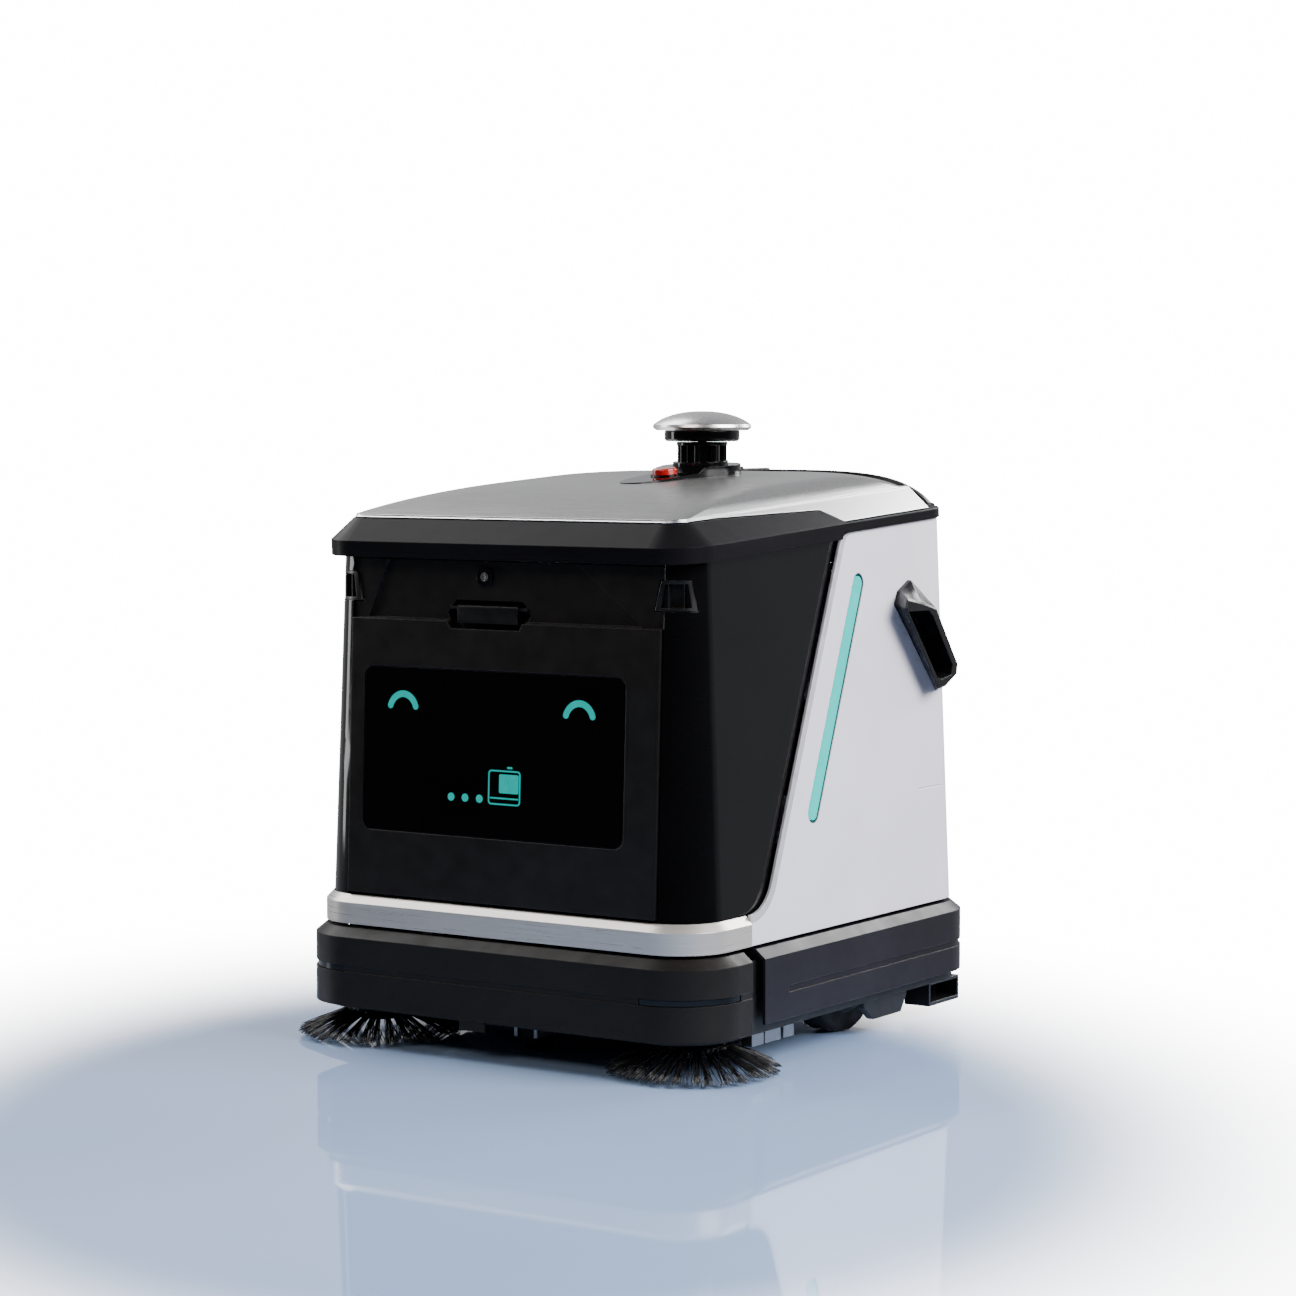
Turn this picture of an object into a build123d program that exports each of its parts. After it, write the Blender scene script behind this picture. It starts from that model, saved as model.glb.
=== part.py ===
"""Robotic floor cleaner, built as an assembly of separate pieces.

Millimetres. +Z is up, the front faces -Y, and the origin is on the floor under the centre of the
machine. The base is a rounded rectangle, the body above it leans inward, and the top deck is a
plane that rises towards the back.
"""

import math
import os

from build123d import *

os.makedirs("parts", exist_ok=True)

# ---- Driving dimensions ------------------------------------------------------------------------

# Base: bumper in front, skirts at the sides and back.
BASE_WIDTH = 640.0
BASE_DEPTH = 725.0
BASE_CORNER = 87.0
SKIRT_BOTTOM = 60.0
SKIRT_LEDGE = 142.5
SKIRT_TOP = 154.0
SKIRT_WALL = 4.0
BUMPER_BOTTOM = 53.0
BUMPER_BACK = -242.0
SKIRT_FRONT = -213.0
GROOVE_LOW = 93.0
GROOVE_HIGH = 101.5
GROOVE_DEPTH = 2.5
REAR_SKIRT_HALF = 120.0

# Body: silver band, side panels and corner covers, all leaning inward by the same draft.
BAND_BOTTOM = 158.5
BAND_TOP = 197.0
BAND_INSET = 13.8
BAND_SEAM = -222.0
BODY_DRAFT = 2.2
PANEL_INSET = 15.5
COVER_INSET = 23.2
PANEL_WALL = 4.0
PANEL_LEAN = 24.7
PANEL_SWEEP_RADIUS = 58.0
PANEL_CORNER_RADIUS = 34.0
TRIM_WIDTH = 10.0
REAR_PANEL_HALF = 150.0

# Top deck: a plane that rises towards the back, measured up its slope (v) and off it (w).
DECK_FRONT = -345.0
DECK_FRONT_HEIGHT = 655.5
DECK_SLOPE = 3.26
RIM_WIDTH = 580.0
RIM_LENGTH = 674.0
RIM_CORNER = 58.0
RIM_BAND = 20.0
RIM_BAND_OVER_PANEL = 12.0
RIM_CHAMFER_RISE = 30.0
RIM_CHAMFER_RUN = 34.0
LID_EDGE_FRONT = 28.5
LID_EDGE_SIDE = 20.0
LID_EDGE_REAR = 3.0
LID_GAP = 1.5
EDGE_FALL_START = 110.0
NOTCH_START = 352.0
NOTCH_END = 382.0
CROWN_HEIGHT = 54.0
HINGE_Y = 318.0
HINGE_Z = 691.0
LID_BACK = 262.0

# Front door, its recess, the display and the latch.
DOOR_HALF = 239.0
DOOR_BOTTOM = 200.0
DOOR_TOP = 633.0
DOOR_WALL = 14.0
DOOR_PROUD = 4.0
DOOR_STEP_HEIGHT = 556.0
DOOR_STEP_DEPTH = 7.0
DOOR_HINGE_Y = -331.0
DOOR_HINGE_Z = 216.0
DISPLAY_CENTRE_X = -13.0
DISPLAY_WIDTH = 407.0
DISPLAY_LOW = 283.0
DISPLAY_HIGH = 495.5
LATCH_CENTRE_X = -27.0
LATCH_LOW = 547.0
LATCH_HIGH = 583.0
LOCK_X = -33.0
LOCK_Z = 613.0
LOCK_RADIUS = 12.5
LOCK_FACE_Y = -319.5

# Lidar on the lid.
LIDAR_Y = 140.0
LIDAR_STEM_RADIUS = 35.0
LIDAR_RING_RADIUS = 51.5
LIDAR_RING_LOW = 782.0
LIDAR_RING_HIGH = 797.0
LIDAR_CAP_RADIUS = 67.8
LIDAR_TOP = 823.3
POD_TIP = -42.0
POD_RADIUS = 55.0
POD_HEIGHT = 13.0

# Cleaning gear and running gear under the body.
SIDE_BRUSH_X = 244.8
SIDE_BRUSH_Y = -262.2
SIDE_BRUSH_RADIUS = 112.0
ROLLER_Y = -95.0
ROLLER_Z = 48.0
ROLLER_RADIUS = 46.0
ROLLER_HALF = 198.0
WHEEL_X = 238.0
WHEEL_Y = 95.0
WHEEL_RADIUS = 85.0
WHEEL_WIDTH = 44.0
CASTER_Y = -262.0
CASTER_RADIUS = 30.0
CASTER_TRAIL = 16.0
TRAY_BOTTOM = 47.0
TRAY_FLOOR = 53.0
TRAY_TOP = 140.0
RUNNING_CLEARANCE = 0.05
AIR_GAP = 1.5

# Rear end: the charging block stands out as far as the side brushes do in front.
REAR_REACH = SIDE_BRUSH_RADIUS - SIDE_BRUSH_Y


# ---- Shared shapes -----------------------------------------------------------------------------

DECK_SIN = math.sin(math.radians(DECK_SLOPE))
DECK_COS = math.cos(math.radians(DECK_SLOPE))
DECK_NORMAL = (0, -DECK_SIN, DECK_COS)
DECK = Plane(origin=(0, DECK_FRONT, DECK_FRONT_HEIGHT), x_dir=(1, 0, 0), z_dir=DECK_NORMAL)
DECK_SIDE = Plane(origin=(0, DECK_FRONT, DECK_FRONT_HEIGHT), x_dir=(0, DECK_COS, DECK_SIN), z_dir=(1, 0, 0))
DRAFT_SLOPE = math.tan(math.radians(BODY_DRAFT))
SMALLEST_CORNER = 12.0


def deck_height(y, w=0.0):
    """Height of the plane that lies w off the deck, above the point y."""
    return DECK_FRONT_HEIGHT + (y - DECK_FRONT) * math.tan(math.radians(DECK_SLOPE)) + w / DECK_COS


def inset_at(inset, z):
    """Inset of a drafted wall at height z, for a wall whose inset is given at the band's foot."""
    return inset + (z - BAND_BOTTOM) * DRAFT_SLOPE


def base_block(inset, low, high, draft=0.0):
    """Block on the base outline moved inward by inset, its walls leaning inward by draft."""
    with BuildPart() as block:
        with BuildSketch(Plane.XY.offset(low)):
            RectangleRounded(BASE_WIDTH - 2 * inset, BASE_DEPTH - 2 * inset, BASE_CORNER - inset)
        extrude(amount=high - low, taper=draft)
    return block.part


def body_shell(inset, low, high, wall):
    """Drafted wall of the upper body between two heights."""
    outer = base_block(inset_at(inset, low), low, high, BODY_DRAFT)
    inner = base_block(inset_at(inset, low) + wall, low, high, BODY_DRAFT)
    return outer - inner


def box_between(x, y, z):
    """Box that spans three (low, high) pairs."""
    centre = ((x[0] + x[1]) / 2, (y[0] + y[1]) / 2, (z[0] + z[1]) / 2)
    return Pos(*centre) * Box(x[1] - x[0], y[1] - y[0], z[1] - z[0], mode=Mode.PRIVATE)


def rod(radius, start, direction, length):
    """Round bar from start along direction."""
    with BuildPart() as bar:
        with BuildSketch(Plane(origin=start, z_dir=direction)):
            Circle(radius)
        extrude(amount=length)
    return bar.part


def deck_block(margin, low, high, run=0.0):
    """Block on the rim outline moved inward by margin, run being how far its walls lean in."""
    with BuildPart() as block:
        with BuildSketch(DECK.offset(low)):
            with Locations((0, RIM_LENGTH / 2)):
                corner = max(RIM_CORNER - margin, SMALLEST_CORNER)
                RectangleRounded(RIM_WIDTH - 2 * margin, RIM_LENGTH - 2 * margin, corner)
        extrude(amount=high - low, taper=math.degrees(math.atan2(run, high - low)))
    return block.part


def side_prism(points, x_low, x_high, plane=Plane.YZ):
    """Prism across the machine from a side outline."""
    with BuildPart() as prism:
        with BuildSketch(plane.offset(x_low)):
            with BuildLine():
                Polyline(*points, close=True)
            make_face()
        extrude(amount=x_high - x_low)
    return prism.part


def mirrored(part):
    """The same piece on the other side of the machine."""
    return mirror(part, about=Plane.YZ)


def finish(piece, name):
    """Name a finished piece and write it to its own file."""
    piece.part.label = name
    export_step(piece.part, f"parts/{name}.step")


# ---- Chassis -----------------------------------------------------------------------------------

TRAY_HALF = BASE_WIDTH / 2 - 14
TRAY_FRONT = -BASE_DEPTH / 2 + 22
TRAY_BACK = BASE_DEPTH / 2 - 14
TRAY_WALL = 4.0
WELL_HALF_WIDTH = WHEEL_WIDTH / 2 + 8
WELL_HALF_LENGTH = 94.0
SLOT_FRONT = ROLLER_Y - 52
SLOT_BACK = ROLLER_Y + 52
SLOT_HALF = ROLLER_HALF + 8
PULLEY_SLOT = 31.0
CASTER_POCKET_RADIUS = 54.0
CASTER_POCKET_ROOF = 82.0
CASTER_STEM_RADIUS = 7.0
SIDE_BRUSH_SHAFT_RADIUS = 6.0

BUMPER_GUIDE_X = 150.0
GUIDE_RADIUS = 5.0
GUIDE_Z = 120.0
BUSH_LENGTH = 24.0

with BuildPart() as chassis_tray:
    with BuildSketch(Plane.XY.offset(TRAY_BOTTOM)):
        with Locations((0, (TRAY_FRONT + TRAY_BACK) / 2)):
            RectangleRounded(2 * TRAY_HALF, TRAY_BACK - TRAY_FRONT, BASE_CORNER - 20)
    extrude(amount=TRAY_TOP - TRAY_BOTTOM)
    offset(amount=-TRAY_WALL, openings=chassis_tray.faces().sort_by(Axis.Z)[-1])
    with BuildSketch(Plane.XY.offset(TRAY_BOTTOM)):
        with Locations((0, CASTER_Y)):
            Circle(CASTER_POCKET_RADIUS + 3)
    extrude(amount=CASTER_POCKET_ROOF - TRAY_BOTTOM + 8)
    with BuildSketch(Plane.XY.offset(TRAY_BOTTOM)):
        with Locations((0, CASTER_Y)):
            Circle(CASTER_POCKET_RADIUS)
    extrude(amount=CASTER_POCKET_ROOF - TRAY_BOTTOM, mode=Mode.SUBTRACT)
    with BuildSketch(Plane.XY.offset(TRAY_BOTTOM)):
        with Locations((0, CASTER_Y)):
            Circle(CASTER_STEM_RADIUS + RUNNING_CLEARANCE)
        with Locations((SIDE_BRUSH_X, SIDE_BRUSH_Y), (-SIDE_BRUSH_X, SIDE_BRUSH_Y)):
            Circle(SIDE_BRUSH_SHAFT_RADIUS + 3)
        with Locations((0, (SLOT_FRONT + SLOT_BACK) / 2)):
            Rectangle(2 * SLOT_HALF, SLOT_BACK - SLOT_FRONT)
        with Locations((-SLOT_HALF - PULLEY_SLOT / 2 + 1, ROLLER_Y + 16)):
            Rectangle(PULLEY_SLOT, 100)
        with Locations((WHEEL_X, WHEEL_Y), (-WHEEL_X, WHEEL_Y)):
            Rectangle(2 * WELL_HALF_WIDTH, 2 * WELL_HALF_LENGTH)
    extrude(amount=60, mode=Mode.SUBTRACT)
    for x in (-BUMPER_GUIDE_X, BUMPER_GUIDE_X):
        bush_y = (TRAY_FRONT, TRAY_FRONT + BUSH_LENGTH)
        add(box_between((x - 12, x + 12), bush_y, (GUIDE_Z - 12, GUIDE_Z + 12)))
        bore = rod(GUIDE_RADIUS + RUNNING_CLEARANCE, (x, TRAY_FRONT - 1, GUIDE_Z), (0, 1, 0), BUSH_LENGTH + 2)
        add(bore, mode=Mode.SUBTRACT)
finish(chassis_tray, "chassis_tray")

POST = 20.0
POST_X = 215.0
POST_FRONT = -250.0
POST_BACK = 262.0
FRAME_TOP = 612.0

with BuildPart() as body_frame:
    with BuildSketch(Plane.XY.offset(TRAY_FLOOR - 2)):
        with Locations((-POST_X, POST_FRONT + 60), (POST_X, POST_FRONT + 60)):
            Rectangle(POST, POST)
        with Locations((-POST_X, POST_BACK), (POST_X, POST_BACK)):
            Rectangle(POST, POST)
    extrude(amount=FRAME_TOP - TRAY_FLOOR + 2)
    with BuildSketch(Plane.XY.offset(FRAME_TOP - POST)):
        with Locations((0, (POST_FRONT + POST_BACK) / 2)):
            Rectangle(2 * POST_X + POST, POST_BACK - POST_FRONT + POST)
            Rectangle(2 * POST_X - POST, POST_BACK - POST_FRONT - POST, mode=Mode.SUBTRACT)
    extrude(amount=POST)
finish(body_frame, "body_frame")


# ---- Base: bumper and skirts -------------------------------------------------------------------


def skirt_ring(bottom):
    """Ring of the whole base: a wall with a ledge and a sloping top."""
    run = (SKIRT_TOP - SKIRT_LEDGE) * 1.22
    draft = math.degrees(math.atan2(run, SKIRT_TOP - SKIRT_LEDGE))
    wall = base_block(0, bottom, SKIRT_LEDGE) + base_block(0, SKIRT_LEDGE, SKIRT_TOP, draft)
    inner = base_block(SKIRT_WALL, bottom, SKIRT_LEDGE - 3)
    inner += base_block(SKIRT_WALL, SKIRT_LEDGE - 3, SKIRT_TOP, draft)
    return wall - inner


def groove_ring(low, high, depth):
    """Ring that cuts a groove of the given depth into the base's outer face."""
    return base_block(-2, low, high) - base_block(depth, low, high)


base_front = box_between((-400, 400), (-400, BUMPER_BACK), (0, 200))
slot_zone = box_between((229, 400), (-400, SIDE_BRUSH_Y - 6), (0, 200))
slot_zones = slot_zone + mirrored(slot_zone)
TAB_CENTRE = -24.0
TAB_WIDTH = 40.0
TAB_DEPTH = 13.0
GUIDE_FRONT = -BASE_DEPTH / 2 + SKIRT_WALL - 1

with BuildPart() as front_bumper:
    add(skirt_ring(BUMPER_BOTTOM))
    add(base_front, mode=Mode.INTERSECT)
    add(groove_ring(97.5, 106, 1.2), mode=Mode.SUBTRACT)
    add(groove_ring(97.5, 106, SKIRT_WALL + 2) & slot_zones, mode=Mode.SUBTRACT)
    with BuildSketch(Plane.XZ.offset(BASE_DEPTH / 2 - SKIRT_WALL)):
        with Locations((TAB_CENTRE, BUMPER_BOTTOM - TAB_DEPTH / 2 + 2)):
            Rectangle(TAB_WIDTH, TAB_DEPTH + 4)
    extrude(amount=SKIRT_WALL - 1)
    for x in (-BUMPER_GUIDE_X, BUMPER_GUIDE_X):
        add(rod(GUIDE_RADIUS, (x, GUIDE_FRONT, GUIDE_Z), (0, 1, 0), 35))
finish(front_bumper, "front_bumper")

with BuildPart() as bumper_windows:
    add((groove_ring(98, 105.5, SKIRT_WALL - 0.2) - groove_ring(97, 107, 2.2)) & slot_zones)
finish(bumper_windows, "bumper_windows")

def side_skirt():
    """Right skirt: along the side and round the rear corner, with a groove."""
    zone = box_between((150, 400), (SKIRT_FRONT, 400), (0, 200))
    zone += box_between((REAR_SKIRT_HALF, 200), (200, 400), (0, 200))
    groove_zone = box_between((REAR_SKIRT_HALF + 20, 400), (-156, 400), (0, 200))
    skirt = skirt_ring(SKIRT_BOTTOM) & zone
    return skirt - (groove_ring(GROOVE_LOW, GROOVE_HIGH, GROOVE_DEPTH) & groove_zone)


skirt_shape = side_skirt()
with BuildPart() as skirt_right:
    add(skirt_shape)
finish(skirt_right, "skirt_right")

with BuildPart() as skirt_left:
    add(mirrored(skirt_shape))
finish(skirt_left, "skirt_left")

rear_zone = box_between((-REAR_SKIRT_HALF + 1.2, REAR_SKIRT_HALF - 1.2), (200, 400), (0, 200))
with BuildPart() as rear_skirt:
    add(skirt_ring(SKIRT_BOTTOM))
    add(rear_zone, mode=Mode.INTERSECT)
    add(box_between((-45, 45), (300, 400), (78, 132)), mode=Mode.SUBTRACT)
finish(rear_skirt, "rear_skirt")

CONTACT_WIDTH = 22.0
CONTACT_SPACING = 44.0
with BuildPart() as charging_block:
    add(box_between((-44, 44), (TRAY_BACK + 0.4, REAR_REACH - 2), (79, 131)))
    fillet(charging_block.edges().filter_by(Axis.Y), 6)
    chamfer(charging_block.faces().sort_by(Axis.Y)[-1].edges(), 2)
    with Locations(Plane.XZ.offset(-REAR_REACH + 2)):
        with Locations((-CONTACT_SPACING / 2, 105), (CONTACT_SPACING / 2, 105)):
            Box(CONTACT_WIDTH, 34, 8, mode=Mode.SUBTRACT)
finish(charging_block, "charging_block")

with BuildPart() as charging_contacts:
    for x in (-CONTACT_SPACING / 2, CONTACT_SPACING / 2):
        plate_x = (x - CONTACT_WIDTH / 2 + 0.5, x + CONTACT_WIDTH / 2 - 0.5)
        add(box_between(plate_x, (REAR_REACH - 6, REAR_REACH), (88.5, 121.5)))
finish(charging_contacts, "charging_contacts")


# ---- Band, corner covers and side panels -------------------------------------------------------

band_zone = box_between((-400, 400), (-400, BAND_SEAM), (0, 300))
with BuildPart() as front_band:
    add(base_block(BAND_INSET, BAND_BOTTOM, BAND_TOP - 11))
    add(base_block(BAND_INSET, BAND_TOP - 11, BAND_TOP, 44))
    add(base_block(BAND_INSET + 4.5, BAND_BOTTOM, BAND_TOP - 14), mode=Mode.SUBTRACT)
    add(base_block(BAND_INSET + 9.8, BAND_BOTTOM, BAND_TOP), mode=Mode.SUBTRACT)
    add(band_zone, mode=Mode.INTERSECT)
finish(front_band, "front_band")

LEAN_TAN = math.tan(math.radians(PANEL_LEAN))
PANEL_FOOT_Y = -182.6


def panel_front(z, margin=0.0):
    """Y of the panel's slanting front edge at height z, moved back by margin."""
    return PANEL_FOOT_Y + (z - BAND_TOP) * LEAN_TAN + margin / math.cos(math.radians(PANEL_LEAN))


TOP_TRIM_SHARE = 0.15


def panel_top(y, margin=0.0):
    """Height of the panel's top edge above y, under the rim's band; the trim is thin along it."""
    return deck_height(y, -RIM_BAND_OVER_PANEL - 1.0 - TOP_TRIM_SHARE * margin)


def panel_side_view(margin=0.0):
    """Solid across the right half with the panel's side outline, shrunk by margin in front and on top."""
    low = BAND_TOP - margin
    corner_y = panel_front(panel_top(0), margin)
    for _ in range(3):
        corner_y = panel_front(panel_top(corner_y, margin), margin)
    corner = (corner_y, panel_top(corner_y, margin))
    foot = (panel_front(low, margin), low)
    with BuildPart() as prism:
        with BuildSketch(Plane.YZ):
            with BuildLine():
                start = (BAND_SEAM + 1, low)
                end = (420, panel_top(420, margin))
                radii = [PANEL_SWEEP_RADIUS + margin, PANEL_CORNER_RADIUS - margin]
                FilletPolyline(start, foot, corner, end, radius=radii)
                Polyline(end, (420, BAND_BOTTOM), (BAND_SEAM + 1, BAND_BOTTOM), start)
            make_face()
        extrude(amount=420)
    return prism.part


side_zone = box_between((REAR_PANEL_HALF, 420), (-400, 420), (0, 800))
BODY_TOP = 700.0
panel_wall = body_shell(PANEL_INSET, BAND_BOTTOM, BODY_TOP, PANEL_WALL) & side_zone

# Light slot: a long rounded slot parallel to the panel's front edge.
LIGHT_LOW = (-67.0, 297.0)
LIGHT_HIGH = (76.0, 610.0)
LIGHT_WIDTH = 27.0
LIGHT_BAR_WIDTH = 19.0
LIGHT_BAR_SHIFT = 1.6


def light_prism(width, x_low, x_high, shift=0.0):
    """Rounded bar along the light slot, moved back by shift, across part of the machine's width."""
    run = math.dist(LIGHT_LOW, LIGHT_HIGH)
    angle = math.degrees(math.atan2(LIGHT_HIGH[1] - LIGHT_LOW[1], LIGHT_HIGH[0] - LIGHT_LOW[0]))
    middle = ((LIGHT_LOW[0] + LIGHT_HIGH[0]) / 2 + shift, (LIGHT_LOW[1] + LIGHT_HIGH[1]) / 2)
    with BuildPart() as prism:
        with BuildSketch(Plane.YZ.offset(x_low)):
            with Locations(middle):
                SlotOverall(run + width - LIGHT_WIDTH, width, rotation=angle)
        extrude(amount=x_high - x_low)
    return prism.part


# Handle: a slanting black block with a finger pocket, let into the panel.
HANDLE_OUTER_X = 319.0
HANDLE_BASE_X = 293.0
HANDLE_BACK_X = 268.0
HANDLE_OUTLINE = [
    (163, 566),
    (172, 583),
    (202, 597),
    (252, 568),
    (293, 484),
    (292, 466),
    (284, 446),
    (272, 444),
]
HANDLE_FACE = [
    (141, 562),
    (147, 575),
    (185, 568),
    (226, 559),
    (289, 481),
    (286, 466),
    (252, 452),
    (231, 450),
]
POCKET_MOUTH = [(149, 558), (205, 557), (217, 549), (273, 479), (269, 467), (240, 462), (230, 465)]
POCKET_FLOOR = [(186, 552), (222, 552), (232, 545), (280, 480), (278, 472), (272, 466), (265, 466)]
POCKET_DEPTH = 36.0


def tapered_prism(near, near_x, far, far_x):
    """Solid across X between two side outlines with as many corners each."""
    with BuildPart() as taper:
        for outline, x in ((near, near_x), (far, far_x)):
            with BuildSketch(Plane.YZ.offset(x)):
                with BuildLine():
                    Polyline(*outline, close=True)
                make_face()
        loft(ruled=True)
    return taper.part


handle_hole = side_prism(HANDLE_OUTLINE, 250, 340)

with BuildPart() as side_panel_right:
    add(panel_wall & panel_side_view(TRIM_WIDTH))
    add(light_prism(LIGHT_WIDTH, 250, 340), mode=Mode.SUBTRACT)
    add(handle_hole, mode=Mode.SUBTRACT)
    add(box_between((297.7, 330), (214, 300), (313.5, 315.5)), mode=Mode.SUBTRACT)
finish(side_panel_right, "side_panel_right")

with BuildPart() as side_panel_left:
    add(mirrored(side_panel_right.part))
finish(side_panel_left, "side_panel_left")

trim_strip = (panel_wall & panel_side_view(0)) - panel_side_view(TRIM_WIDTH)
with BuildPart() as side_trims:
    add(trim_strip)
    add(mirrored(trim_strip))
finish(side_trims, "side_trims")

light_shell = body_shell(PANEL_INSET + 1.0, BAND_BOTTOM, BODY_TOP, 14.0)
light_face = body_shell(PANEL_INSET + 1.4, BAND_BOTTOM, BODY_TOP, 6.8)
light_well = body_shell(PANEL_INSET - 1.0, BAND_BOTTOM, BODY_TOP, 9.5)
with BuildPart() as light_trays:
    tray = light_shell & light_prism(LIGHT_WIDTH - 0.4, 250, 340)
    tray -= light_well & light_prism(LIGHT_WIDTH - 4, 250, 340)
    add(tray)
    add(mirrored(tray))
finish(light_trays, "light_trays")

with BuildPart() as light_bars:
    bar = light_face & light_prism(LIGHT_BAR_WIDTH, 250, 340, LIGHT_BAR_SHIFT)
    add(bar)
    add(mirrored(bar))
finish(light_bars, "light_bars")


def side_handle():
    """Right handle, which leans out to a narrower face with an open finger pocket."""
    pocket_x = HANDLE_OUTER_X - POCKET_DEPTH
    mouth = side_prism(POCKET_MOUTH, HANDLE_OUTER_X - 0.01, HANDLE_OUTER_X + 1)
    pocket = tapered_prism(POCKET_FLOOR, pocket_x, POCKET_MOUTH, HANDLE_OUTER_X) + mouth
    block = tapered_prism(HANDLE_OUTLINE, HANDLE_BASE_X, HANDLE_FACE, HANDLE_OUTER_X)
    with BuildPart() as handle:
        add(block)
        chamfer(handle.faces().sort_by(Axis.X)[-1].edges(), 2)
        add(side_prism(HANDLE_OUTLINE, HANDLE_BACK_X, HANDLE_BASE_X))
        add(pocket, mode=Mode.SUBTRACT)
    return handle.part


handle_shape = side_handle()
with BuildPart() as side_handles:
    add(handle_shape)
    add(mirrored(handle_shape))
finish(side_handles, "side_handles")


# ---- Corner covers, door frame and sensors -----------------------------------------------------

COVER_LOW = BAND_BOTTOM + 2
COVER_WALL = 5.0
cover_wall = body_shell(COVER_INSET, COVER_LOW, BODY_TOP, COVER_WALL)
cover_top = -RIM_BAND - 1
cover_below_rim = side_prism(
    [(-420, 0), (300, 0), (300, deck_height(300, cover_top)), (-420, deck_height(-420, cover_top))],
    0,
    420,
)
cover_zone = box_between((DOOR_HALF + 2, 420), (-420, 250), (0, 800)) & cover_below_rim
panel_with_gap = side_prism(
    [
        (panel_front(100) - 2, 100),
        (panel_front(BODY_TOP) - 2, BODY_TOP),
        (420, BODY_TOP),
        (420, 100),
    ],
    0,
    420,
)

# Sensor windows sit in the rounded corners, turned 28 degrees outward.
SENSOR_ANGLE = 28.0
SENSOR_Z = 597.0
SENSOR_DEPTH = 16.0
sensor_inset = inset_at(COVER_INSET, SENSOR_Z)
sensor_radius = BASE_CORNER - sensor_inset
sensor_sin = math.sin(math.radians(SENSOR_ANGLE))
sensor_cos = math.cos(math.radians(SENSOR_ANGLE))
sensor_x = BASE_WIDTH / 2 - BASE_CORNER + sensor_radius * sensor_sin
sensor_y = -(BASE_DEPTH / 2 - BASE_CORNER + sensor_radius * sensor_cos)
SENSOR_PLANE = Plane(
    origin=(sensor_x, sensor_y, SENSOR_Z),
    x_dir=(sensor_cos, sensor_sin, 0),
    z_dir=(sensor_sin, -sensor_cos, 0),
)


def sensor_prism(top_half, bottom_half, half_height, back, front):
    """Trapezoid prism on the right corner, from back to front along the sensor's view."""
    with BuildPart() as prism:
        with BuildSketch(SENSOR_PLANE.offset(back)):
            with BuildLine():
                Polyline(
                    (-top_half, half_height),
                    (top_half, half_height),
                    (bottom_half, -half_height),
                    (-bottom_half, -half_height),
                    close=True,
                )
            make_face()
        extrude(amount=front - back)
    return prism.part


sensor_hole = sensor_prism(19, 27, 19, -30, 20)
door_notch = sensor_prism(19.8, 27.8, 19.8, -60, 20)
cover_shape = (cover_wall & cover_zone) - panel_with_gap - sensor_hole

with BuildPart() as corner_covers:
    add(cover_shape)
    add(mirrored(cover_shape))
finish(corner_covers, "corner_covers")

with BuildPart() as sensor_bezels:
    bezel = sensor_prism(18.6, 26.6, 18.6, -SENSOR_DEPTH, 5)
    bezel -= sensor_prism(14, 19, 15, -SENSOR_DEPTH + 4, 6)
    for fin in (-1, 1):
        fin_plane = SENSOR_PLANE.offset(-SENSOR_DEPTH + 3)
        bezel += fin_plane * Pos(fin * 9.5, 0, 5.5) * Box(1.6, 31, 11, mode=Mode.PRIVATE)
    add(bezel)
    add(mirrored(bezel))
    add(base_block(inset_at(COVER_INSET + 0.6, 500), 500, BODY_TOP, BODY_DRAFT), mode=Mode.INTERSECT)
finish(sensor_bezels, "sensor_bezels")

FRAME_FRONT = -300.0
FRAME_BACK = -286.0
HINGE_EYE_X = (-150.0, 150.0)
HINGE_EYE_RADIUS = 7.0
HINGE_PIN_RADIUS = 4.0
with BuildPart() as door_frame:
    with BuildSketch(Plane.XZ.offset(-FRAME_FRONT)):
        with Locations((0, (198 + 630) / 2)):
            RectangleRounded(2 * DOOR_HALF + 6, 630 - 198, 16)
            with Locations((0, 4)):
                RectangleRounded(2 * DOOR_HALF - 70, 630 - 198 - 74, 22, mode=Mode.SUBTRACT)
    extrude(amount=FRAME_FRONT - FRAME_BACK)
    for x in HINGE_EYE_X:
        add(rod(HINGE_PIN_RADIUS, (x - 22, DOOR_HINGE_Y, DOOR_HINGE_Z), (1, 0, 0), 44))
        for side in (-1, 1):
            low_x, high_x = sorted((x + side * 13, x + side * 22))
            add(rod(HINGE_EYE_RADIUS - 1, (low_x, DOOR_HINGE_Y, DOOR_HINGE_Z), (1, 0, 0), high_x - low_x))
            arm_y = (DOOR_HINGE_Y, FRAME_FRONT)
            add(box_between((low_x, high_x), arm_y, (DOOR_HINGE_Z - 5, DOOR_HINGE_Z + 5)))
finish(door_frame, "door_frame")


# ---- Front door --------------------------------------------------------------------------------

door_face_inset = COVER_INSET - DOOR_PROUD
door_zone = box_between((-DOOR_HALF, DOOR_HALF), (-420, -200), (DOOR_BOTTOM, DOOR_TOP))
door_wall = body_shell(door_face_inset, BAND_BOTTOM, BODY_TOP, DOOR_WALL)
step_cutter = body_shell(door_face_inset - 20, BAND_BOTTOM, BODY_TOP, 20 + DOOR_STEP_DEPTH)
step_zone = box_between((-400, 400), (-420, -200), (DOOR_STEP_HEIGHT, 800))


def front_prism(points, y_front, y_back, taper=0.0):
    """Prism into the front of the machine from a front outline."""
    with BuildPart() as prism:
        with BuildSketch(Plane.XZ.offset(-y_front)):
            with BuildLine():
                Polyline(*points, close=True)
            make_face()
        extrude(amount=y_front - y_back, taper=taper)
    return prism.part


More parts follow.
